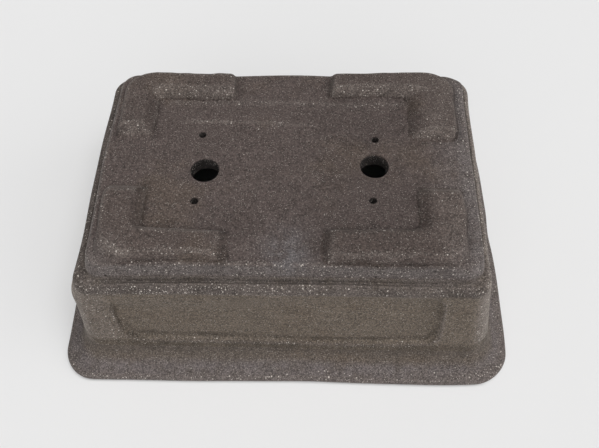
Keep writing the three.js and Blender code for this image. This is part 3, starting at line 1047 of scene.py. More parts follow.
# Bands of the walls in millimetres: from the shoulder down, and from its edge inwards
SHOULDER_BAND = (-6.5, -3.0)
BELOW_SHOULDER = (-8.0, -22.0)
PANEL_END_TOP = (-5.0, -8.0)
SHOULDER_EDGE = (-3.2, -1.6)
LEDGE_BAND = (-1.4, -2.8)
GROOVE_BAND = (-2.6, -4.2)
# From the slab down, from half way up the wall, and in panel feet from the rim up
GROOVE_DEEP = (-1.0, -2.4)
LOWER_HALF = (-4.0, -12.0)
WALL_FOOT = (1.1, 0.5)
# Corners that hands held, pale partly as painted highlight, and where they turn, as a share of the corner
HELD_X = (96.0, 109.0)
HELD_Y = (-50.0, -62.0)
CORNER_TURN = (0.9, 0.3)
# Along the side
SLOPE_RUB_SPAN = (-80.0, -66.0)
# Along the front alone
CALM_SPAN = (0.0, 60.0)
GROOVE_SPAN = ((-102.0, -88.0), (80.0, 20.0))
PANEL_LEFT_END = (-74.0, -82.0)
PANEL_RIGHT_END = (66.0, 76.0)
PANEL_RIGHT_STOP = (84.0, 80.0)
FRAME_LEFT_END = (-89.0, -95.0)
PALE_LINE_AT = 86.0
PALE_LINE_REACH = 1.4

# Strengths of the walls' marks: rubbed shoulder by side, and the rest by place
SHOULDER_RUBS = (1.0, 0.8, 0.5, 0.2)
# Rubbing of the skin, with painted highlight on the panel's upward slope, the front frame's left end and the
# turning corners
WALL_RUB_AND_HIGHLIGHT = {"skin": 0.012, "slope": 0.22, "frame_end": 0.4, "corner": 0.75}
CALM_SHARE = 0.65
SHOULDER_GREY = 0.6
# Paleness of the held corners, partly painted highlight where they turn to the light
HELD_LEFT = 0.9
HELD_RIGHT = 0.6
HELD_SHOULDER = 0.6
# Painted highlight on the front frame's left end and on the crest of the panel's right end
WALL_HIGHLIGHT = {"frame_end": 0.2, "line": 0.22}
# Painted highlight on the right shoulder, where light from the right falls
RIGHT_SHOULDER_HIGHLIGHT = 0.55
# Painted shade on the ledge, the left shoulder, the front shoulder's edge, in the front groove, round the
# panels' edges and at the wall's foot by the cove
LEDGE_SHADE = 0.8
LEFT_SHOULDER_SHADE = 0.74
FRONT_SHOULDER_SHADE = 0.58
GROOVE_SHADE = 0.30
GROOVE_MORE_SHADE = 0.28
SLOPE_FOOT_SHADE = 0.45
SLOPE_HEAD_SHADE = 0.2
PANEL_SHADE = {"left_end": 0.9, "right_end": 0.25}
WALL_FOOT_SHADE = 0.58
WALL_WEAR = 0.5
# How much painted shade darkens the walls' hollows, less where slip was wiped into the groove
WALL_CREASE = 0.5
WIPED_CREASE = 0.45


def panel_frame(m, k):
    """Ends, foot and head of the pressed panel of side k, along the side and in height."""
    half_span = (m.half_x if k % 2 == 0 else m.half_y) - m.panel_margin
    ends = (PANEL_OFF[k] - half_span, PANEL_OFF[k] + half_span)
    return ends, (m.rim_z + m.panel_low, m.shoulder_z - m.panel_high)


def panel_mask(m, k, u, z):
    """How far the panel of side k is pressed in, where its edge slopes and where that slope ends."""
    (left, right), (low, high) = panel_frame(m, k)
    sag = bell(u, SAG_CENTRE, SAG_REACH) * (SIDES[k] == "front")
    low = low - SAG_DEPTH * sag
    right = right + PANEL_LEAN * (high - z)
    beyond_u = np.abs(u - (left + right) / 2) - ((right - left) / 2 - m.panel_corner)
    beyond_z = np.abs(z - (low + high) / 2) - ((high - low) / 2 - m.panel_corner)
    steeper = np.where(u > 0, RIGHT_END_STEEPER, LEFT_END_STEEPER)
    steeper = most(SAG_STEEPER * sag, steeper * smoothstep(*END_SPAN, beyond_u - beyond_z))
    distance = past_corner(beyond_u, beyond_z) - m.panel_corner
    distance = distance / (m.panel_edge * (SLOPE_WIDTH - steeper))
    pressed = smoothstep(*SLOPE_DOWN, distance)
    slope = 4.0 * pressed * (1.0 - pressed)
    fade = low + (high - low) * (FADE_START + FADE_LATER * smoothstep(*FADE_SPAN, u))
    pressed = pressed * (1.0 - FADE_SHARE * smoothstep(fade, fade + FADE_RUN, z))
    return pressed, slope, between(distance, *SLOPE_FOOT)


class POT_OT_walls(bpy.types.Operator):
    """Raise the four leaning walls with their pressed panels."""

    bl_idname = "pot.walls"
    bl_label = "Walls"

    def execute(self, context):
        m = measures(context.scene)
        clay = context.scene.pot_clay
        material = clay_material("wall_clay", clay.wall, clay.corner, clay, WALL_PALENESS)
        skin_rows, inner = wall_outline(m)
        outline = np.vstack((skin_rows, inner))
        joints = {len(skin_rows) - 1, len(outline) - 1}
        for k, side in enumerate(SIDES):
            points, columns = side_mesh(m, k, outline, STRAIGHT_STEP, panel_frame(m, k)[0])
            outer = points[:len(skin_rows)]
            u = outer[:, :, :2] @ ALONG[k]
            pressed, slope, foot = panel_mask(m, k, u, outer[:, :, 2])
            outer[:, :, :2] -= (m.panel_depth * pressed)[:, :, None] * OUTWARD[k]
            if side == "front":
                line = bell(skin_rows[:, :1], TOOL_LINE_OFFSET, TOOL_LINE_REACH)
                line = line * (skin_rows[:, 1:] > m.shoulder_z - LEDGE_DEPTH)
                outer[:, :, 2] -= TOOL_LINE_DEPTH * line * smoothstep(*TOOL_LINE_SPAN, u)
            faces, skin = closed_strip(len(outline), columns, joints)
            marks = self.marks(m, k, skin_rows, outer, slope, foot)
            bare = np.zeros((len(inner), columns))
            marks = {key: np.vstack((mask, bare)).ravel() for key, mask in marks.items()}
            points = points.reshape(-1, 3)
            wiped = front_corner(points[:, 0], points[:, 1], HANDLED_REACH)
            make_piece(f"{side}_wall", "wall_clay", material, m, points, faces, skin,
                       wear=WALL_WEAR, crease=WALL_CREASE - WIPED_CREASE * wiped, **marks)
        return {"FINISHED"}

    def marks(self, m, k, skin_rows, outer, slope, foot):
        """Where the outer skin of side k is grey, rubbed, darkened by painted shade, and pale from handling
        and painted highlight.
        """
        x, y = outer[:, :, 0], outer[:, :, 1]
        u = outer[:, :, :2] @ ALONG[k]
        offset, z = skin_rows[:, :1], skin_rows[:, 1:]
        shoulder = smoothstep(*SHOULDER_BAND, z - m.shoulder_z)
        edge = shoulder * smoothstep(*SHOULDER_EDGE, offset)
        ledge = shoulder * smoothstep(*LEDGE_BAND, offset)
        below = smoothstep(*BELOW_SHOULDER, z - m.shoulder_z)
        lower = smoothstep(*LOWER_HALF, z - (m.rim_z + m.shoulder_z) / 2)
        wall_foot = smoothstep(*WALL_FOOT, (z - m.rim_z) / m.panel_low)
        turn = np.arange(u.shape[1])
        corner = smoothstep(*CORNER_TURN, np.minimum(turn, turn[::-1]) / CORNER_STEPS)
        held_and_lit = smoothstep(*HELD_X, np.abs(x) - np.maximum(offset, 0.0)) * smoothstep(*HELD_Y, y)

        # Pale corners: handled skin, and painted highlight where they turn to the light
        pale = held_and_lit * np.where(x < 0, HELD_LEFT, HELD_RIGHT) * (1.0 - HELD_SHOULDER * shoulder)
        # Rubbing, with painted highlight on the lower slope of the panel's edge, which faces up
        rub_and_highlight = strongest(WALL_RUB_AND_HIGHLIGHT, skin=1.0, slope=slope * lower * smoothstep(*SLOPE_RUB_SPAN, u))
        rub_and_highlight = most(rub_and_highlight, SHOULDER_RUBS[k] * edge)
        # Painted shade on the ledge, and at the foot and head of the panel's slope
        dark = LEDGE_SHADE * ledge * (1.0 - front_corner(x, y, HANDLED_REACH))
        pressed = foot * (SLOPE_FOOT_SHADE * lower + SLOPE_HEAD_SHADE * below)
        if SIDES[k] == "front":
            # Painted shade in the front groove, on the front shoulder's edge and at the front panel's ends
            groove = shoulder * smoothstep(*GROOVE_BAND, offset)
            groove = groove * smoothstep(*GROOVE_DEEP, z - m.joint_z)
            dark = groove * (GROOVE_SHADE + GROOVE_MORE_SHADE * between(u, *GROOVE_SPAN))
            dark = most(dark, FRONT_SHOULDER_SHADE * edge)
            left_end = slope * smoothstep(*PANEL_LEFT_END, u) * below
            right_end = smoothstep(*PANEL_RIGHT_END, u)
            right_end = right_end * smoothstep(*PANEL_END_TOP, z - m.shoulder_z)
            pressed = most(pressed, strongest(
                PANEL_SHADE, left_end=left_end,
                right_end=right_end * smoothstep(*PANEL_RIGHT_STOP, u)))
            # Painted highlight on the frame's left end and along the crest of the panel's right end
            frame_end = smoothstep(*FRAME_LEFT_END, u) * (1.0 - shoulder) * (1.0 - wall_foot)
            line = right_end * bell(u, PALE_LINE_AT, PALE_LINE_REACH) * (1.0 - wall_foot)
            rub_and_highlight = rub_and_highlight * (1.0 - CALM_SHARE * smoothstep(*CALM_SPAN, u))
            rub_and_highlight = most(rub_and_highlight, strongest(WALL_RUB_AND_HIGHLIGHT, frame_end=frame_end))
            pale = most(pale, strongest(WALL_HIGHLIGHT, frame_end=frame_end, line=line))
        elif SIDES[k] == "right":
            # Painted highlight on the right shoulder
            pale = most(pale, RIGHT_SHOULDER_HIGHLIGHT * edge)
        elif SIDES[k] == "left":
            # Painted shade on the left shoulder
            dark = most(dark, LEFT_SHOULDER_SHADE * shoulder * (1.0 - pale))
        # Painted highlight where the corners turn, painted shade at the wall's foot by the cove, and the
        # pale corners and painted highlights as the dusty mark
        corner = corner * (1.0 - wall_foot) * (1.0 - ledge)
        return {
            "grey": SHOULDER_GREY * shoulder * np.ones_like(u),
            "rub_and_highlight": most(rub_and_highlight, strongest(WALL_RUB_AND_HIGHLIGHT, corner=corner)),
            "shade_and_tone": most(dark, pressed, WALL_FOOT_SHADE * wall_foot),
            "dust": pale * (1.0 - ledge),
        }


# Seam coils

class POT_OT_seam_coils(bpy.types.Operator):
    """Press the four coils into the seam between walls and floor."""

    bl_idname = "pot.seam_coils"
    bl_label = "Seam Coils"

    def execute(self, context):
        m = measures(context.scene)
        clay = context.scene.pot_clay
        material = clay_material("seam_clay", clay.seam, clay.dust, clay)
        outline = coil_outline(m)
        for k, side in enumerate(SIDES):
            points, columns = side_mesh(m, k, outline, INNER_STEP)
            faces, skin = closed_strip(len(outline), columns, {0, len(outline) - 1})
            make_piece(f"{side}_seam_coil", "seam_clay", material, m, points.reshape(-1, 3), faces, skin)
        return {"FINISHED"}


# Flat sheets

# Points that are compared at a time, least gap between two, and the kind of triangulation
SHEET_CHUNK = 200
SHEET_GAP = 1e-7
TRIANGLES_INSIDE = 1


def flat_fill(loops, spacing, keep_clear):
    """Triangles of a flat sheet between closed loops, the first outermost, with a point grid in it."""
    outline = np.vstack(loops)
    low, high = outline.min(axis=0), outline.max(axis=0)
    xs = np.arange(low[0], high[0], spacing)
    ys = np.arange(low[1], high[1], spacing)
    grid = np.column_stack([g.ravel() for g in np.meshgrid(xs, ys)])
    grid[:, 0] += 0.5 * spacing * (np.round((grid[:, 1] - low[1]) / spacing) % 2)
    clear = np.ones(len(grid), bool)
    for chunk in np.array_split(outline, max(1, len(outline) // SHEET_CHUNK)):
        away = np.linalg.norm(grid[:, None] - chunk[None], axis=2).min(axis=1)
        clear &= away > keep_clear
    clear &= inside(grid, loops[0])
    for hole in loops[1:]:
        clear &= ~inside(grid, hole)
    points = np.vstack((outline, grid[clear]))
    edges = []
    start = 0
    for loop in loops:
        edges += [(start + i, start + (i + 1) % len(loop)) for i in range(len(loop))]
        start += len(loop)
    corners = [Vector(p) for p in points]
    made = delaunay_2d_cdt(corners, edges, [], TRIANGLES_INSIDE, SHEET_GAP, True)
    if len(made[0]) != len(points):
        raise RuntimeError("the flat sheet's loops cross each other")
    order = [source[0] for source in made[3]]
    triangles = np.array([[order[i] for i in f] for f in made[2]])
    middle = points[triangles].mean(axis=1)
    keep = inside(middle, loops[0])
    for hole in loops[1:]:
        keep &= ~inside(middle, hole)
    return points, triangles[keep].tolist()


def inside(points, loop):
    """Whether each point lies inside a closed loop."""
    a, b = loop, np.roll(loop, -1, axis=0)
    found = np.zeros(len(points), bool)
    for p, q in zip(a, b):
        crosses = (p[1] > points[:, 1]) != (q[1] > points[:, 1])
        if p[1] != q[1]:
            at = p[0] + (points[:, 1] - p[1]) * (q[0] - p[0]) / (q[1] - p[1])
            found ^= crosses & (points[:, 0] < at)
    return found


def loop_columns(m, offsets, step):
    """Plan points of whole outlines round the pot, one row for each offset."""
    rows = []
    for k in range(4):
        angle, along = side_stations(m, k, step)
        keep = np.ones(len(angle), bool)
        keep[[1, -2, -1]] = False
        rows.append(plan_points(m, k, offsets, angle[keep], along[keep]))
    return np.concatenate(rows, axis=1)


def welded_sheet(loops, spacing, keep_clear, total):
    """Triangles of a flat sheet between loops, and the new points in it.

    Each loop comes with the number of its first point, and the new points are numbered from total.
    """
    flat, triangles = flat_fill([loop for loop, _ in loops], spacing, keep_clear)
    known = np.concatenate([np.arange(len(loop)) + first for loop, first in loops])
    extra = flat[len(known):]
    numbers = np.concatenate((known, total + np.arange(len(extra))))
    return numbers[np.array(triangles)].tolist(), extra


# Floor

# Holes punched by hand: seed, waves of the outline, their depth as a share of the radius and the
# range of their phases, and how many rings there are in a rounding and along a bore
HOLE_SEED = 40
HOLE_WAVES = (2, 3, 5)
HOLE_RIPPLE = 0.012
HOLE_PHASES = (0, 6.28)
HOLE_LEVELS = 6


def hole_rings(m, place, diameter, steps, number):
    """Rings of a hole punched by hand, from the floor's outside to its inside."""
    edge = m.hole_edge
    turn = np.linspace(0.0, 2 * math.pi, steps, endpoint=False)
    rng = np.random.default_rng(HOLE_SEED + number)
    ripple = sum(rng.normal() * np.cos(n * turn + rng.uniform(*HOLE_PHASES)) / n for n in HOLE_WAVES)
    depth = m.floor_z - m.joint_z
    levels = [(edge * (1 - math.sin(t)), -edge * (1 - math.cos(t)))
              for t in np.linspace(0, math.pi / 2, HOLE_LEVELS)]
    levels += [(0.0, -edge - (depth - 2 * edge) * s) for s in np.linspace(0, 1, HOLE_LEVELS)[1:]]
    levels += [(edge, -depth)]
    rings = []
    for wider, z in levels:
        radius = diameter / 2 * (1.0 + HOLE_RIPPLE * ripple) + wider
        ring = np.column_stack((place[0] + radius * np.cos(turn), place[1] + radius * np.sin(turn)))
        rings.append(level(ring, m.floor_z + z))
    return np.array(rings)


# How far points stay clear of a sheet's loops, as a share of their spacing
SHEET_CLEAR = 0.6

# Heights in millimetres: of the slab's band from the base down, of the base and of the inside
BAND_SPAN = (-0.3, -2.2)
BASE_SKIN = 0.5
DUSTY_ABOVE = 2.0
INSIDE_SKIN = 0.01
# Places in millimetres: rubbed ends, lines of the trowel, the pale bloom and a dark patch
LEFT_END_SPAN = (-98.5, -101.0)
TROWEL_LINE_Y = 26.9
TROWEL_LINE_TILT = 0.02
TROWEL_LINE_REACH = 1.0
RIDGE_RUB_Y = 42.6
RIDGE_RUB_REACH = 1.8
RIDGE_RUB_END = 70.0
BLOOM = ((3.0, -59.0), (12.0, 14.0))
DARK_PATCH = ((-22.0, -45.0), (9.0, 11.0))
# Painted shade in the holes: depth below the base where it starts and is full, and reach in diameters
BORE_SPAN = (-0.1, -1.2)
BORE_REACH = 0.62
# Painted shade round the feet: close and wide reach, and how far along the pot it is wide
FOOT_LINE_REACH = 1.4
FOOT_HALO_REACH = 6.0
FOOT_HALO_END = 90.0
FOOT_RING_STEPS = 30
FOOT_SEARCH = 60.0

# Strengths of the slab's marks by place
BASE_GREY = 0.12
BAND_GREY = 0.78
CORNER_GREY = 0.8
# Rubbing, with painted highlight along the trowel's step
BASE_RUB_AND_HIGHLIGHT = {"band": 0.58, "corner": 0.4, "line": 0.8, "left_end": 0.5, "right_end": 0.6, "ridge": 0.6}
BASE_DUST = {"bloom": 0.8, "ends": 0.36, "band": 0.20}
# Darker firing to the right and in a patch, and painted shade down the bores and round the feet
BASE_SHADE_AND_TONE = {"tone": 1.0, "patch": 0.35, "bore": 2.0, "foot_line": 0.75, "foot_halo": 0.3}
BASE_WEAR = 0.55
BASE_CREASE = 0.25


class POT_OT_floor(bpy.types.Operator):
    """Lay the floor slab with its drain and wire holes."""

    bl_idname = "pot.floor"
    bl_label = "Floor Slab"

    def execute(self, context):
        m = measures(context.scene)
        clay = context.scene.pot_clay
        material = clay_material("base_clay", clay.base, clay.dust, clay, BASE_PALENESS, DEEP_PITS)
        _, edge = split_at(outer_profile(m), m.joint_z)
        band = loop_columns(m, edge[:, 0], STRAIGHT_STEP)
        rows, columns = band.shape[:2]
        points = [raised(band, edge[:, 1]).reshape(-1, 3)]
        skin = grid_faces(rows, columns, closed_columns=True)
        total = rows * columns

        # Loops of the floor's outside and inside, each with the number of its first point
        outside, inside_loops = [(band[-1], total - columns)], [(band[0], 0)]
        holes = [(place, m.drain_diameter, DRAIN_STEPS) for place in DRAIN_PLACES]
        holes += [(place, m.wire_diameter, WIRE_STEPS) for place in WIRE_PLACES]
        for number, (place, diameter, steps) in enumerate(holes):
            rings = hole_rings(m, place, diameter, steps, number)
            points.append(rings.reshape(-1, 3))
            bore = grid_faces(len(rings), steps, closed_columns=True, first=total)
            skin += [f[::-1] for f in bore]
            outside.append((rings[0, :, :2], total))
            inside_loops.append((rings[-1, :, :2], total + (len(rings) - 1) * steps))
            total += len(rings) * steps

        sheet, extra = welded_sheet(outside, BASE_STEP, SHEET_CLEAR * BASE_STEP, total)
        skin += sheet
        points.append(level(extra, m.floor_z))
        total += len(extra)
        sheet, extra = welded_sheet(inside_loops, UNDER_STEP, SHEET_CLEAR * UNDER_STEP, total)
        under = [f[::-1] for f in sheet]
        points.append(level(extra, m.joint_z))
        points = np.vstack(points)
        make_piece("floor_slab", "base_clay", material, m, points, skin + under, skin,
                   wear=BASE_WEAR, **self.marks(m, points, holes))
        return {"FINISHED"}

    def marks(self, m, points, holes):
        """Where the slab is grey, rubbed, painted with highlight, dusty, darker in its firing and darkened
        by painted shade, and how much painted shade darkens its hollows.
        """
        x, y, z = points.T
        outer = z > m.joint_z + INSIDE_SKIN
        band = smoothstep(*BAND_SPAN, z - m.floor_z)
        corner = front_corner(x, y, WIPED_REACH)
        left_end = smoothstep(*LEFT_END_SPAN, x)
        right_end = right_margin(x)
        ends = most(left_end, right_end)
        # A painted highlight along the trowel's step
        line = bell(y + TROWEL_LINE_TILT * x, TROWEL_LINE_Y, TROWEL_LINE_REACH)
        rub_and_highlight = strongest(
            BASE_RUB_AND_HIGHLIGHT, band=band, corner=corner, left_end=left_end, right_end=right_end,
            line=line * between(x, *BACK_STEP_SPAN),
            ridge=bell(y, RIDGE_RUB_Y, RIDGE_RUB_REACH) * (np.abs(x) < RIDGE_RUB_END))
        dust = strongest(BASE_DUST, bloom=patch(x, y, *BLOOM), ends=ends, band=band)
        shade_and_tone = strongest(BASE_SHADE_AND_TONE, tone=right_tone(x), patch=patch(x, y, *DARK_PATCH))
        shade_and_tone = shade_and_tone * (z > m.floor_z - BASE_SKIN)
        # Painted shade down the bores
        for place, diameter, _ in holes:
            bore = np.hypot(x - place[0], y - place[1]) < BORE_REACH * diameter
            bore = bore * smoothstep(*BORE_SPAN, z - m.floor_z)
            shade_and_tone = most(shade_and_tone, strongest(BASE_SHADE_AND_TONE, bore=bore))
        # Painted shade round each foot's base, by the way that part of the foot faces
        for name in FEET:
            edge = foot_ring(m, name, 0.0, [FOOT_RING_STEPS] * 6)
            near = np.abs(points[:, :2] - edge.mean(axis=0)).max(axis=1) < FOOT_SEARCH
            away = np.linalg.norm(points[near, None, :2] - edge[None], axis=2)
            shade = foot_shade(name, edge)[away.argmin(axis=1)]
            away = away.min(axis=1)
            halo = (np.abs(x[near]) < FOOT_HALO_END) * bell(away, 0.0, FOOT_HALO_REACH)
            dark = BASE_SHADE_AND_TONE["foot_line"] * bell(away, 0.0, FOOT_LINE_REACH)
            dark += BASE_SHADE_AND_TONE["foot_halo"] * halo
            shade_and_tone[near] = most(shade_and_tone[near], shade * dark)
        return {
            "grey": outer * most(BASE_GREY + BAND_GREY * band, CORNER_GREY * most(corner, ends)),
            "rub_and_highlight": outer * rub_and_highlight,
            "dust": dust * (z > m.joint_z + DUSTY_ABOVE),
            "shade_and_tone": shade_and_tone,
            "crease": BASE_CREASE * (1.0 - corner),
        }


# Feet

class FootShape(NamedTuple):
    """A foot as it was set by hand, in millimetres."""
    along: float  # width of the arm along the pot
    across: float  # width of the arm across it
    corner: float  # radius of the outer corner
    crook: float  # radius of the inner corner
    along_run: float  # run of the inner slope of the arm along the pot
    across_run: float  # the same of the arm across it
    along_end: float  # run of the slope at the end of the arm along the pot
    across_end: float
    ledge: float  # how far a tool left a ledge half way down the inner slope
    inset: float  # how much further in than its frame's box it was set, along the pot
    rubbed: float  # how much wider the outer corner is at the top


FOOT_SHAPES = {
    "foot_front_left": FootShape(19.8, 23.2, 9.0, 3.0, 5.0, 6.2, 7.4, 8.0, 1.0, 0.0, 10.0),
    "foot_front_right": FootShape(19.2, 23.8, 9.0, 8.0, 5.0, 10.0, 7.2, 8.0, 0.3, 1.5, 8.0),
    "foot_back_left": FootShape(18.6, 21.1, 14.0, 3.0, 6.4, 6.2, 4.6, 9.5, 1.0, 0.0, 2.0),
    "foot_back_right": FootShape(16.8, 23.8, 14.0, 5.0, 5.0, 13.0, 5.0, 7.0, 0.0, 0.0, 2.0),
}


def pillow(q):
    """Share of a rounded edge's run at share q of its height."""
    return 1.0 - math.sqrt(max(0.0, 1.0 - q * q))


def ramp(q):
    """Share of a smeared slope's run at share q of its height: easy at both ends."""
    return 0.5 - math.sin(math.asin(max(-1.0, min(1.0, 1.0 - 2.0 * q))) / 3.0)


# Inner slope of a foot whose tool left a ledge: shares of its height and of its run there
LEDGED_SLOPE = ((0.0, 0.28, 0.55, 0.9, 1.0), (0.0, 0.16, 0.70, 0.92, 1.0))

# How much of each slope is rounded: the smeared one, the outer one and the one along the pot
SMEARED_ROUND = 0.55
OUTER_ROUND = 0.8
INNER_ROUND = 0.75
CORNER_POINTS = 9


def unit(value):
    """The value, kept between nought and one."""
    return min(1.0, max(0.0, value))


def rounded(q, part):
    """Share of an edge's run at share q of its height, where part of the edge is rounded."""
    return part * pillow(q) + (1.0 - part) * q


def foot_ring(m, name, z, counts):
    """L-shaped outline of a foot at height z above the floor."""
    shape = FOOT_SHAPES[name]
    low, high = (np.array(corner)[:2] * MM for corner in FOOT_BOXES[name])
    sx, sy = way = np.where(low + high > 0, 1, -1)
    far, near = np.where(way > 0, high, low), np.where(way > 0, low, high)
    q = unit(z / m.foot_height)
    body = unit((z - m.foot_fillet) / (m.foot_height - m.foot_fillet))
    spread = m.foot_fillet * pillow(unit(1.0 - z / m.foot_fillet))
    smeared = SMEARED_ROUND * pillow(q) + (1.0 - SMEARED_ROUND) * ramp(q)
    slope = shape.ledge * np.interp(q, *LEDGED_SLOPE) + (1.0 - shape.ledge) * smeared
    outer = m.foot_outer_slope * rounded(body, OUTER_ROUND) - spread
    inner_y = shape.along_run * rounded(body, INNER_ROUND) - spread
    inner_y -= (shape.along_run - m.foot_inner_slope) / 2
    inner_x = shape.across_run * slope - (shape.across_run - m.foot_inner_slope) / 2
    end_x = shape.along_end * ramp(q) - (shape.along_end - m.foot_end_slope) / 2
    end_y = shape.across_end * ramp(q) - (shape.across_end - m.foot_end_slope) / 2
    x_out, y_out = far[0] - sx * (outer + shape.inset), far[1] - sy * outer
    x_end, y_end = near[0] + sx * end_x, near[1] + sy * end_y
    x_in = far[0] - sx * (shape.across - inner_x)
    y_in = far[1] - sy * (shape.along - inner_y)
    end_radius = m.foot_end - q
    corners = [
        (x_out, y_out, shape.corner - outer / 2 + shape.rubbed * q), (x_end, y_out, end_radius),
        (x_end, y_in, end_radius), (x_in, y_in, shape.crook + (inner_x + inner_y) / 4),
        (x_in, y_end, end_radius), (x_out, y_end, end_radius),
    ]
    ring = []
    arcs = []
    for i, (x, y, r) in enumerate(corners):
        at = np.array((x, y))
        back = np.array(corners[i - 1][:2]) - at
        ahead = np.array(corners[(i + 1) % 6][:2]) - at
        back, ahead = back / np.linalg.norm(back), ahead / np.linalg.norm(ahead)
        centre = at + r * (back + ahead)
        turn = np.linspace(0.0, math.pi / 2, CORNER_POINTS)[:, None]
        arcs.append(centre - ahead * r * np.cos(turn) - back * r * np.sin(turn))
    for i, points in enumerate(arcs):
        ring.append(points)
        run = np.linspace(0.0, 1.0, counts[i] + 2)[1:-1, None]
        ring.append(points[-1] + (arcs[(i + 1) % 6][0] - points[-1]) * run)
    ring = np.vstack(ring)
    return ring if sx * sy > 0 else ring[::-1]


def facing(ring):
    """Outward direction in plan at each point of a foot's outline."""
    ahead = np.roll(ring, -1, axis=0) - np.roll(ring, 1, axis=0)
    out = np.column_stack((ahead[:, 1], -ahead[:, 0]))
    return out / np.linalg.norm(out, axis=1)[:, None]


# How far a face is turned before a mark on it starts, and where that mark is full
TURNED = (0.3, 0.9)
TURNED_SOON = (0.3, 0.8)

# Places in millimetres: the feet's outer ends, how deep the front feet reach, the end of the shade
# behind a foot, the inner end of the back left foot and the left end of the front left one
FOOT_OUTSIDE = (86.0, 93.0)
FOOT_DEEP = (-16.0, -32.0)
FOOT_BACK_END = (82.0, 74.0)
BACK_FOOT_INNER = (-56.0, -44.0)
FRONT_FOOT_LEFT = (-64.0, -78.0)
FOOT_CORNER_REACH = 12.0

# Shade round a foot's base: by the way it faces, and the shares that are taken off in front
FOOT_SHADE = SimpleNamespace(
    all_round=0.08, left=0.12, left_deep=0.18, left_outside=0.22, right=0.42, right_outside=0.30,
    back=0.50, front=0.46, back_foot_front=0.04, back_foot_inner=0.28, handled=0.9, left_foot=0.45)


def foot_shade(name, ring):
    """How dark the base of a foot is at each point of its outline, by the way it faces."""
    right, back = facing(ring).T
    to_left, to_right, to_back, to_front = (
        smoothstep(*TURNED, way) for way in (-right, right, back, -back))
    x, y = ring.T
    in_front = "front" in name
    outside = smoothstep(*FOOT_OUTSIDE, np.abs(x))
    deep = smoothstep(*FOOT_DEEP, y) if in_front else 1.0
    inner = smoothstep(*BACK_FOOT_INNER, x)
    s = FOOT_SHADE
    dark = s.all_round + (s.left + s.left_deep * deep + s.left_outside * outside) * to_left
    dark += (s.right + s.right_outside * outside) * to_right
    dark += s.back * to_back * smoothstep(*FOOT_BACK_END, np.abs(x))
    dark += (s.front if in_front else s.back_foot_front + s.back_foot_inner * inner) * to_front
    if in_front:
        dark *= 1.0 - s.handled * front_corner(x, y, FOOT_CORNER_REACH)
        dark *= 1.0 - s.left_foot * smoothstep(*FRONT_FOOT_LEFT, x) * to_front
    return dark


# Rows of a foot's points: in its fillet and above it, and the fewest along a straight run
FILLET_ROWS = 6
SIDE_ROWS = 16
FEWEST_STEPS = 4

# What the rounded corners take off the straight runs, in millimetres: outside, at ends and inside
OUTER_CORNERS = 14
END_CORNERS = 10
INNER_CORNERS = 8

# Unevenness of the feet, in millimetres: seed, wavelength and amount
FOOT_WAVES = ((60, 24.0, 0.30), (80, 9.0, 0.14))
FOOT_TOP_WAVE = (70, 30.0, 0.12)

# How far a foot's top is worn down, and from what height above the base
TOP_WORN = 0.25
TOP_WORN_LIMITS = (-0.2, 0.3)
TOP_WORN_START = 3.0


def foot_mesh(m, name, number):
    """Points of a foot, row by row and then on its flat top, with its base, its skin and its bed."""
    fillet = m.foot_fillet * (1.0 - np.cos(np.linspace(0.0, math.pi / 2, FILLET_ROWS)))
    rising = 0.5 - 0.5 * np.cos(np.linspace(0.0, math.pi, SIDE_ROWS + 1)[1:])
    heights = np.concatenate((fillet, m.foot_fillet + (m.foot_height - m.foot_fillet) * rising))
    low, high = (np.array(corner) * MM for corner in FOOT_BOXES[name])
    long_x, long_y = (high - low)[:2]
    shape = FOOT_SHAPES[name]
    runs = (long_x - OUTER_CORNERS, shape.along - END_CORNERS, long_x - shape.across - INNER_CORNERS,
            long_y - shape.along - INNER_CORNERS, shape.across - END_CORNERS, long_y - OUTER_CORNERS)
    counts = [max(FEWEST_STEPS, int(run / FOOT_STEP)) for run in runs]
    rings = [level(foot_ring(m, name, z, counts), m.floor_z + z - SINK) for z in heights]
    columns = len(rings[0])
    total = len(rings) * columns
    skin = grid_faces(len(rings), columns, closed_columns=True)
    bed = [list(reversed(range(columns)))]
    top_loop = (rings[-1][:, :2], total - columns)
    sheet, extra = welded_sheet([top_loop], FOOT_TOP_STEP, FOOT_TOP_CLEAR, total)
    points = np.vstack((*rings, level(extra, m.top_z - SINK)))
    for seed, wavelength, amount in FOOT_WAVES:
        points[:, :2] += wander(points, seed + number, wavelength, amount)[:, :2]
    seed, wavelength, amount = FOOT_TOP_WAVE
    uneven = np.clip(wander(points, seed + number, wavelength, amount)[:, 2], *TOP_WORN_LIMITS)
    top = smoothstep(m.floor_z + TOP_WORN_START, m.top_z, points[:, 2])
    points[:, 2] -= top * (TOP_WORN + uneven)
    return points, rings[0][:, :2], skin + sheet, bed


# Heights of a foot's marks, as shares of its height: where painted shade ends and where pale skin, partly
# painted highlight, starts
SHADE_FULL = 0.45
SHADE_END = 0.45
SHADE_END_SIDEWAYS = 0.55
SHADE_END_AHEAD = 0.25
FRONT_PALE_SPAN = (0.35, 0.8)
BACK_PALE_SPAN = (0.10, 0.30)
RIGHT_PALE_SPAN = (0.5, 0.8)

# Strengths of the feet's marks
FRONT_FOOT_GREY = 0.08
BACK_FOOT_GREY = 0.14
FOOT_CORNER_GREY = 0.7
BACK_FOOT_TONE = 0.2
# Pale skin on slopes that face the front, partly painted highlight
FRONT_FOOT_PALE = 0.6
BACK_FOOT_PALE = 0.5
RIGHT_FOOT_PALE = 0.8
FOOT_CORNER_RUB = 0.4
FOOT_DUST = 0.26
FOOT_WEAR = 0.42
FOOT_EDGE_WEAR = 0.15
# How much painted shade darkens a foot's hollows, by the shade round its base
FOOT_CREASE = 1.2


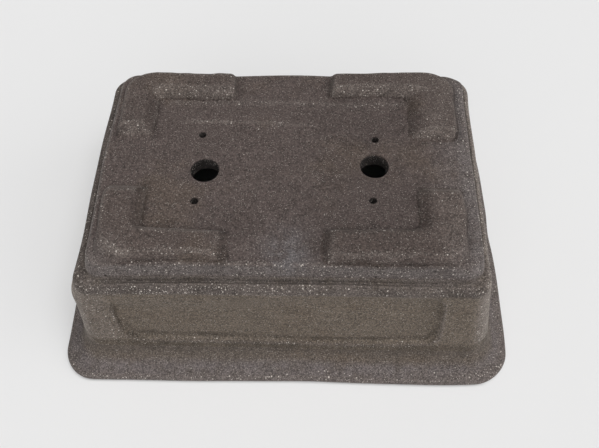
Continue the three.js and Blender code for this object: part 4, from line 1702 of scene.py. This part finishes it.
class POT_OT_feet(bpy.types.Operator):
    """Set the four corner feet on the base."""

    bl_idname = "pot.feet"
    bl_label = "Feet"

    def execute(self, context):
        m = measures(context.scene)
        clay = context.scene.pot_clay
        material = clay_material("foot_clay", clay.foot, clay.corner, clay, FOOT_PALENESS)
        for number, name in enumerate(FEET):
            points, base, skin, bed = foot_mesh(m, name, number)
            make_piece(name, "foot_clay", material, m, points, skin + bed, skin,
                       **self.marks(m, name, points, base))
        return {"FINISHED"}

    def marks(self, m, name, points, base):
        """Where a foot is grey, darker in its firing, darkened by painted shade, rubbed and pale, partly as
        painted highlight, and how far its edges are worn.
        """
        rows = FILLET_ROWS + SIDE_ROWS
        bare_top = np.zeros(len(points) - rows * len(base))

        def up_the_side(values):
            """Values round the base, the same all the way up, and nought on the flat top."""
            return np.concatenate((np.tile(values, rows), bare_top))

        x, y, z = points.T
        height = (z - m.floor_z) / m.foot_height
        right, back = facing(base).T
        sideways = up_the_side(smoothstep(*TURNED, np.abs(right)))
        ahead = up_the_side(smoothstep(*TURNED_SOON, -back))
        behind = up_the_side(smoothstep(*TURNED_SOON, back))
        shade = up_the_side(foot_shade(name, base))
        corner = front_corner(x, y, HANDLED_REACH)
        wear = FOOT_WEAR + FOOT_EDGE_WEAR * behind
        shade_end = SHADE_END + SHADE_END_SIDEWAYS * sideways
        if "front" in name:
            grey, tone = FRONT_FOOT_GREY, right_tone(x)
            # Pale on the slopes that face the front, partly painted highlight
            pale = FRONT_FOOT_PALE * ahead * smoothstep(*FRONT_FOOT_LEFT, x)
            pale = pale * smoothstep(*FRONT_PALE_SPAN, height)
            wear = wear + FOOT_EDGE_WEAR * ahead
        else:
            grey, tone = BACK_FOOT_GREY, BACK_FOOT_TONE
            # Pale on the slopes that face the front, partly painted highlight
            pale = BACK_FOOT_PALE * ahead * smoothstep(*BACK_PALE_SPAN, height)
            shade_end = shade_end - SHADE_END_AHEAD * ahead
        # Painted shade low on the foot's sides, by the way they face
        low = smoothstep(shade_end, SHADE_FULL * sideways, height)
        right_end = right_margin(x) * smoothstep(*RIGHT_PALE_SPAN, height)
        pale = most(pale, RIGHT_FOOT_PALE * right_end)
        return {
            "grey": most(grey, FOOT_CORNER_GREY * corner),
            "shade_and_tone": most(tone, shade * low),
            "rub_and_highlight": most(FOOT_CORNER_RUB * corner, pale),
            "dust": FOOT_DUST * pale,
            "wear": wear,
            "crease": FOOT_CREASE * shade,
        }


# Stage

# Studio floor: radii of its rings and its height in metres, and its finish
FLOOR_RADII = (0.4, 1.2, 3.5)
FLOOR_STEPS = 48
FLOOR_HEIGHT = -0.0002
FLOOR_ROUGHNESS = 0.9
FLOOR_GLOSS = 0.1

# Brightness of the backdrop, where the camera, gloss or glass sees it
BACKDROP = 0.83

# Lamps: the stage's name for the strength, spread in degrees and the way they shine from
LAMP_COLOUR = (1.0, 0.995, 0.985)
LAMPS = (
    ("key", 45, (0.16, -0.20, 1.0)),
    ("front", 60, (-0.1, -1.0, 0.55)),
    ("side", 60, (1.0, -0.35, 0.55)),
)

# Camera of the photograph's viewpoint, in millimetres and radians, and its clip in metres
CAMERA_TARGET = (7.096, -4.427, 30.0)
CAMERA_TURN = 0.04338
CAMERA_RISE = 0.99932
CAMERA_ROLL = -0.02328
CAMERA_AWAY = 435.067
CAMERA_SENSOR = 36.0
CAMERA_CLIP = (0.01, 50.0)


class POT_OT_stage(bpy.types.Operator):
    """Set the pale floor, the soft lights and the camera."""

    bl_idname = "pot.stage"
    bl_label = "Stage"

    def execute(self, context):
        scene = context.scene
        stage = scene.pot_stage
        self.lay_floor(scene, stage)
        self.light(scene, stage)
        self.aim_camera(scene, stage)
        scene.view_settings.view_transform = "Standard"
        return {"FINISHED"}

    def lay_floor(self, scene, stage):
        """A round pale floor, just under the pot."""
        turn = np.linspace(0, 2 * math.pi, FLOOR_STEPS, endpoint=False)
        way = np.column_stack((np.cos(turn), np.sin(turn)))
        plan = np.vstack([radius * way for radius in FLOOR_RADII] + [np.zeros((1, 2))])
        centre = len(plan) - 1
        rings = grid_faces(len(FLOOR_RADII), FLOOR_STEPS, closed_columns=True)
        faces = [f[::-1] for f in rings]
        faces += [[i, (i + 1) % FLOOR_STEPS, centre] for i in range(FLOOR_STEPS)]
        mesh = bpy.data.meshes.new("studio_floor")
        mesh.from_pydata(level(plan, FLOOR_HEIGHT).tolist(), [], faces)
        material = bpy.data.materials.new("studio_floor")
        material.use_nodes = True
        shader = material.node_tree.nodes["Principled BSDF"]
        shader.inputs["Base Color"].default_value = opaque(stage.floor)
        shader.inputs["Roughness"].default_value = FLOOR_ROUGHNESS
        shader.inputs["Specular IOR Level"].default_value = FLOOR_GLOSS
        mesh.materials.append(material)
        floor = bpy.data.objects.new("studio_floor", mesh)
        scene.collection.objects.link(floor)

    def light(self, scene, stage):
        """An even backdrop and three soft lamps."""
        world = bpy.data.worlds.new("studio")
        scene.world = world
        world.use_nodes = True
        tree = world.node_tree
        bench = ClayBench(tree)
        rays = bench.lay("ShaderNodeLightPath")
        seen = bench.math("MAXIMUM", rays.outputs["Is Camera Ray"], rays.outputs["Is Glossy Ray"])
        seen = bench.math("MAXIMUM", seen, rays.outputs["Is Transmission Ray"])
        back = tree.nodes["Background"]
        back.inputs["Color"].default_value = (1.0, 1.0, 1.0, 1.0)
        bench.feed(back.inputs["Strength"], bench.span(seen, 0.0, 1.0, stage.ambient, BACKDROP))
        for name, spread, toward in LAMPS:
            lamp = bpy.data.lights.new(name, "SUN")
            lamp.energy = getattr(stage, name)
            lamp.angle = math.radians(spread)
            lamp.color = LAMP_COLOUR
            holder = bpy.data.objects.new(name, lamp)
            holder.rotation_mode = "QUATERNION"
            holder.rotation_quaternion = Vector(toward).to_track_quat("Z", "Y")
            holder.location = Vector(toward)
            scene.collection.objects.link(holder)

    def aim_camera(self, scene, stage):
        """A camera that sees the pot as the photograph does."""
        back = Vector((math.sin(CAMERA_TURN) * math.cos(CAMERA_RISE),
                       -math.cos(CAMERA_TURN) * math.cos(CAMERA_RISE), math.sin(CAMERA_RISE)))
        right = (-back).cross(Vector((0, 0, 1))).normalized()
        up = right.cross(-back)
        cos, sin = math.cos(CAMERA_ROLL), math.sin(CAMERA_ROLL)
        rolled_right, rolled_up = cos * right + sin * up, cos * up - sin * right
        lens = bpy.data.cameras.new("camera")
        lens.sensor_width = CAMERA_SENSOR
        lens.lens = stage.lens
        lens.clip_start, lens.clip_end = CAMERA_CLIP
        camera = bpy.data.objects.new("camera", lens)
        turn = Matrix((rolled_right, rolled_up, back)).transposed()
        camera.matrix_world = Matrix.Translation(
            (Vector(CAMERA_TARGET) + back * CAMERA_AWAY) / MM) @ turn.to_4x4()
        scene.collection.objects.link(camera)
        scene.camera = camera


class POT_PT_panel(bpy.types.Panel):
    """Sidebar panel that lists the pot's pieces, sizes and colours."""

    bl_label = "Clay Pot"
    bl_idname = "POT_PT_panel"
    bl_space_type = "VIEW_3D"
    bl_region_type = "UI"
    bl_category = "Clay Pot"

    def draw(self, context):
        layout = self.layout
        for operator in OPERATORS:
            layout.operator(operator.bl_idname)
        for group in (context.scene.pot_sizes, context.scene.pot_clay, context.scene.pot_stage):
            box = layout.box()
            for key in group.__annotations__:
                box.prop(group, key)


GROUPS = {"pot_sizes": PotSizes, "pot_clay": PotClay, "pot_stage": PotStage}
OPERATORS = (POT_OT_rims, POT_OT_walls, POT_OT_seam_coils, POT_OT_floor, POT_OT_feet, POT_OT_stage)
CLASSES = (*GROUPS.values(), *OPERATORS, POT_PT_panel)


def register():
    for cls in CLASSES:
        bpy.utils.register_class(cls)
    for key, group in GROUPS.items():
        setattr(bpy.types.Scene, key, PointerProperty(type=group))


def unregister():
    for key in GROUPS:
        delattr(bpy.types.Scene, key)
    for cls in reversed(CLASSES):
        bpy.utils.unregister_class(cls)


def main():
    """Builds the pot and its stage."""
    register()
    bpy.ops.pot.rims()
    bpy.ops.pot.walls()
    bpy.ops.pot.seam_coils()
    bpy.ops.pot.floor()
    bpy.ops.pot.feet()
    bpy.ops.pot.stage()


if __name__ == "__main__":
    main()
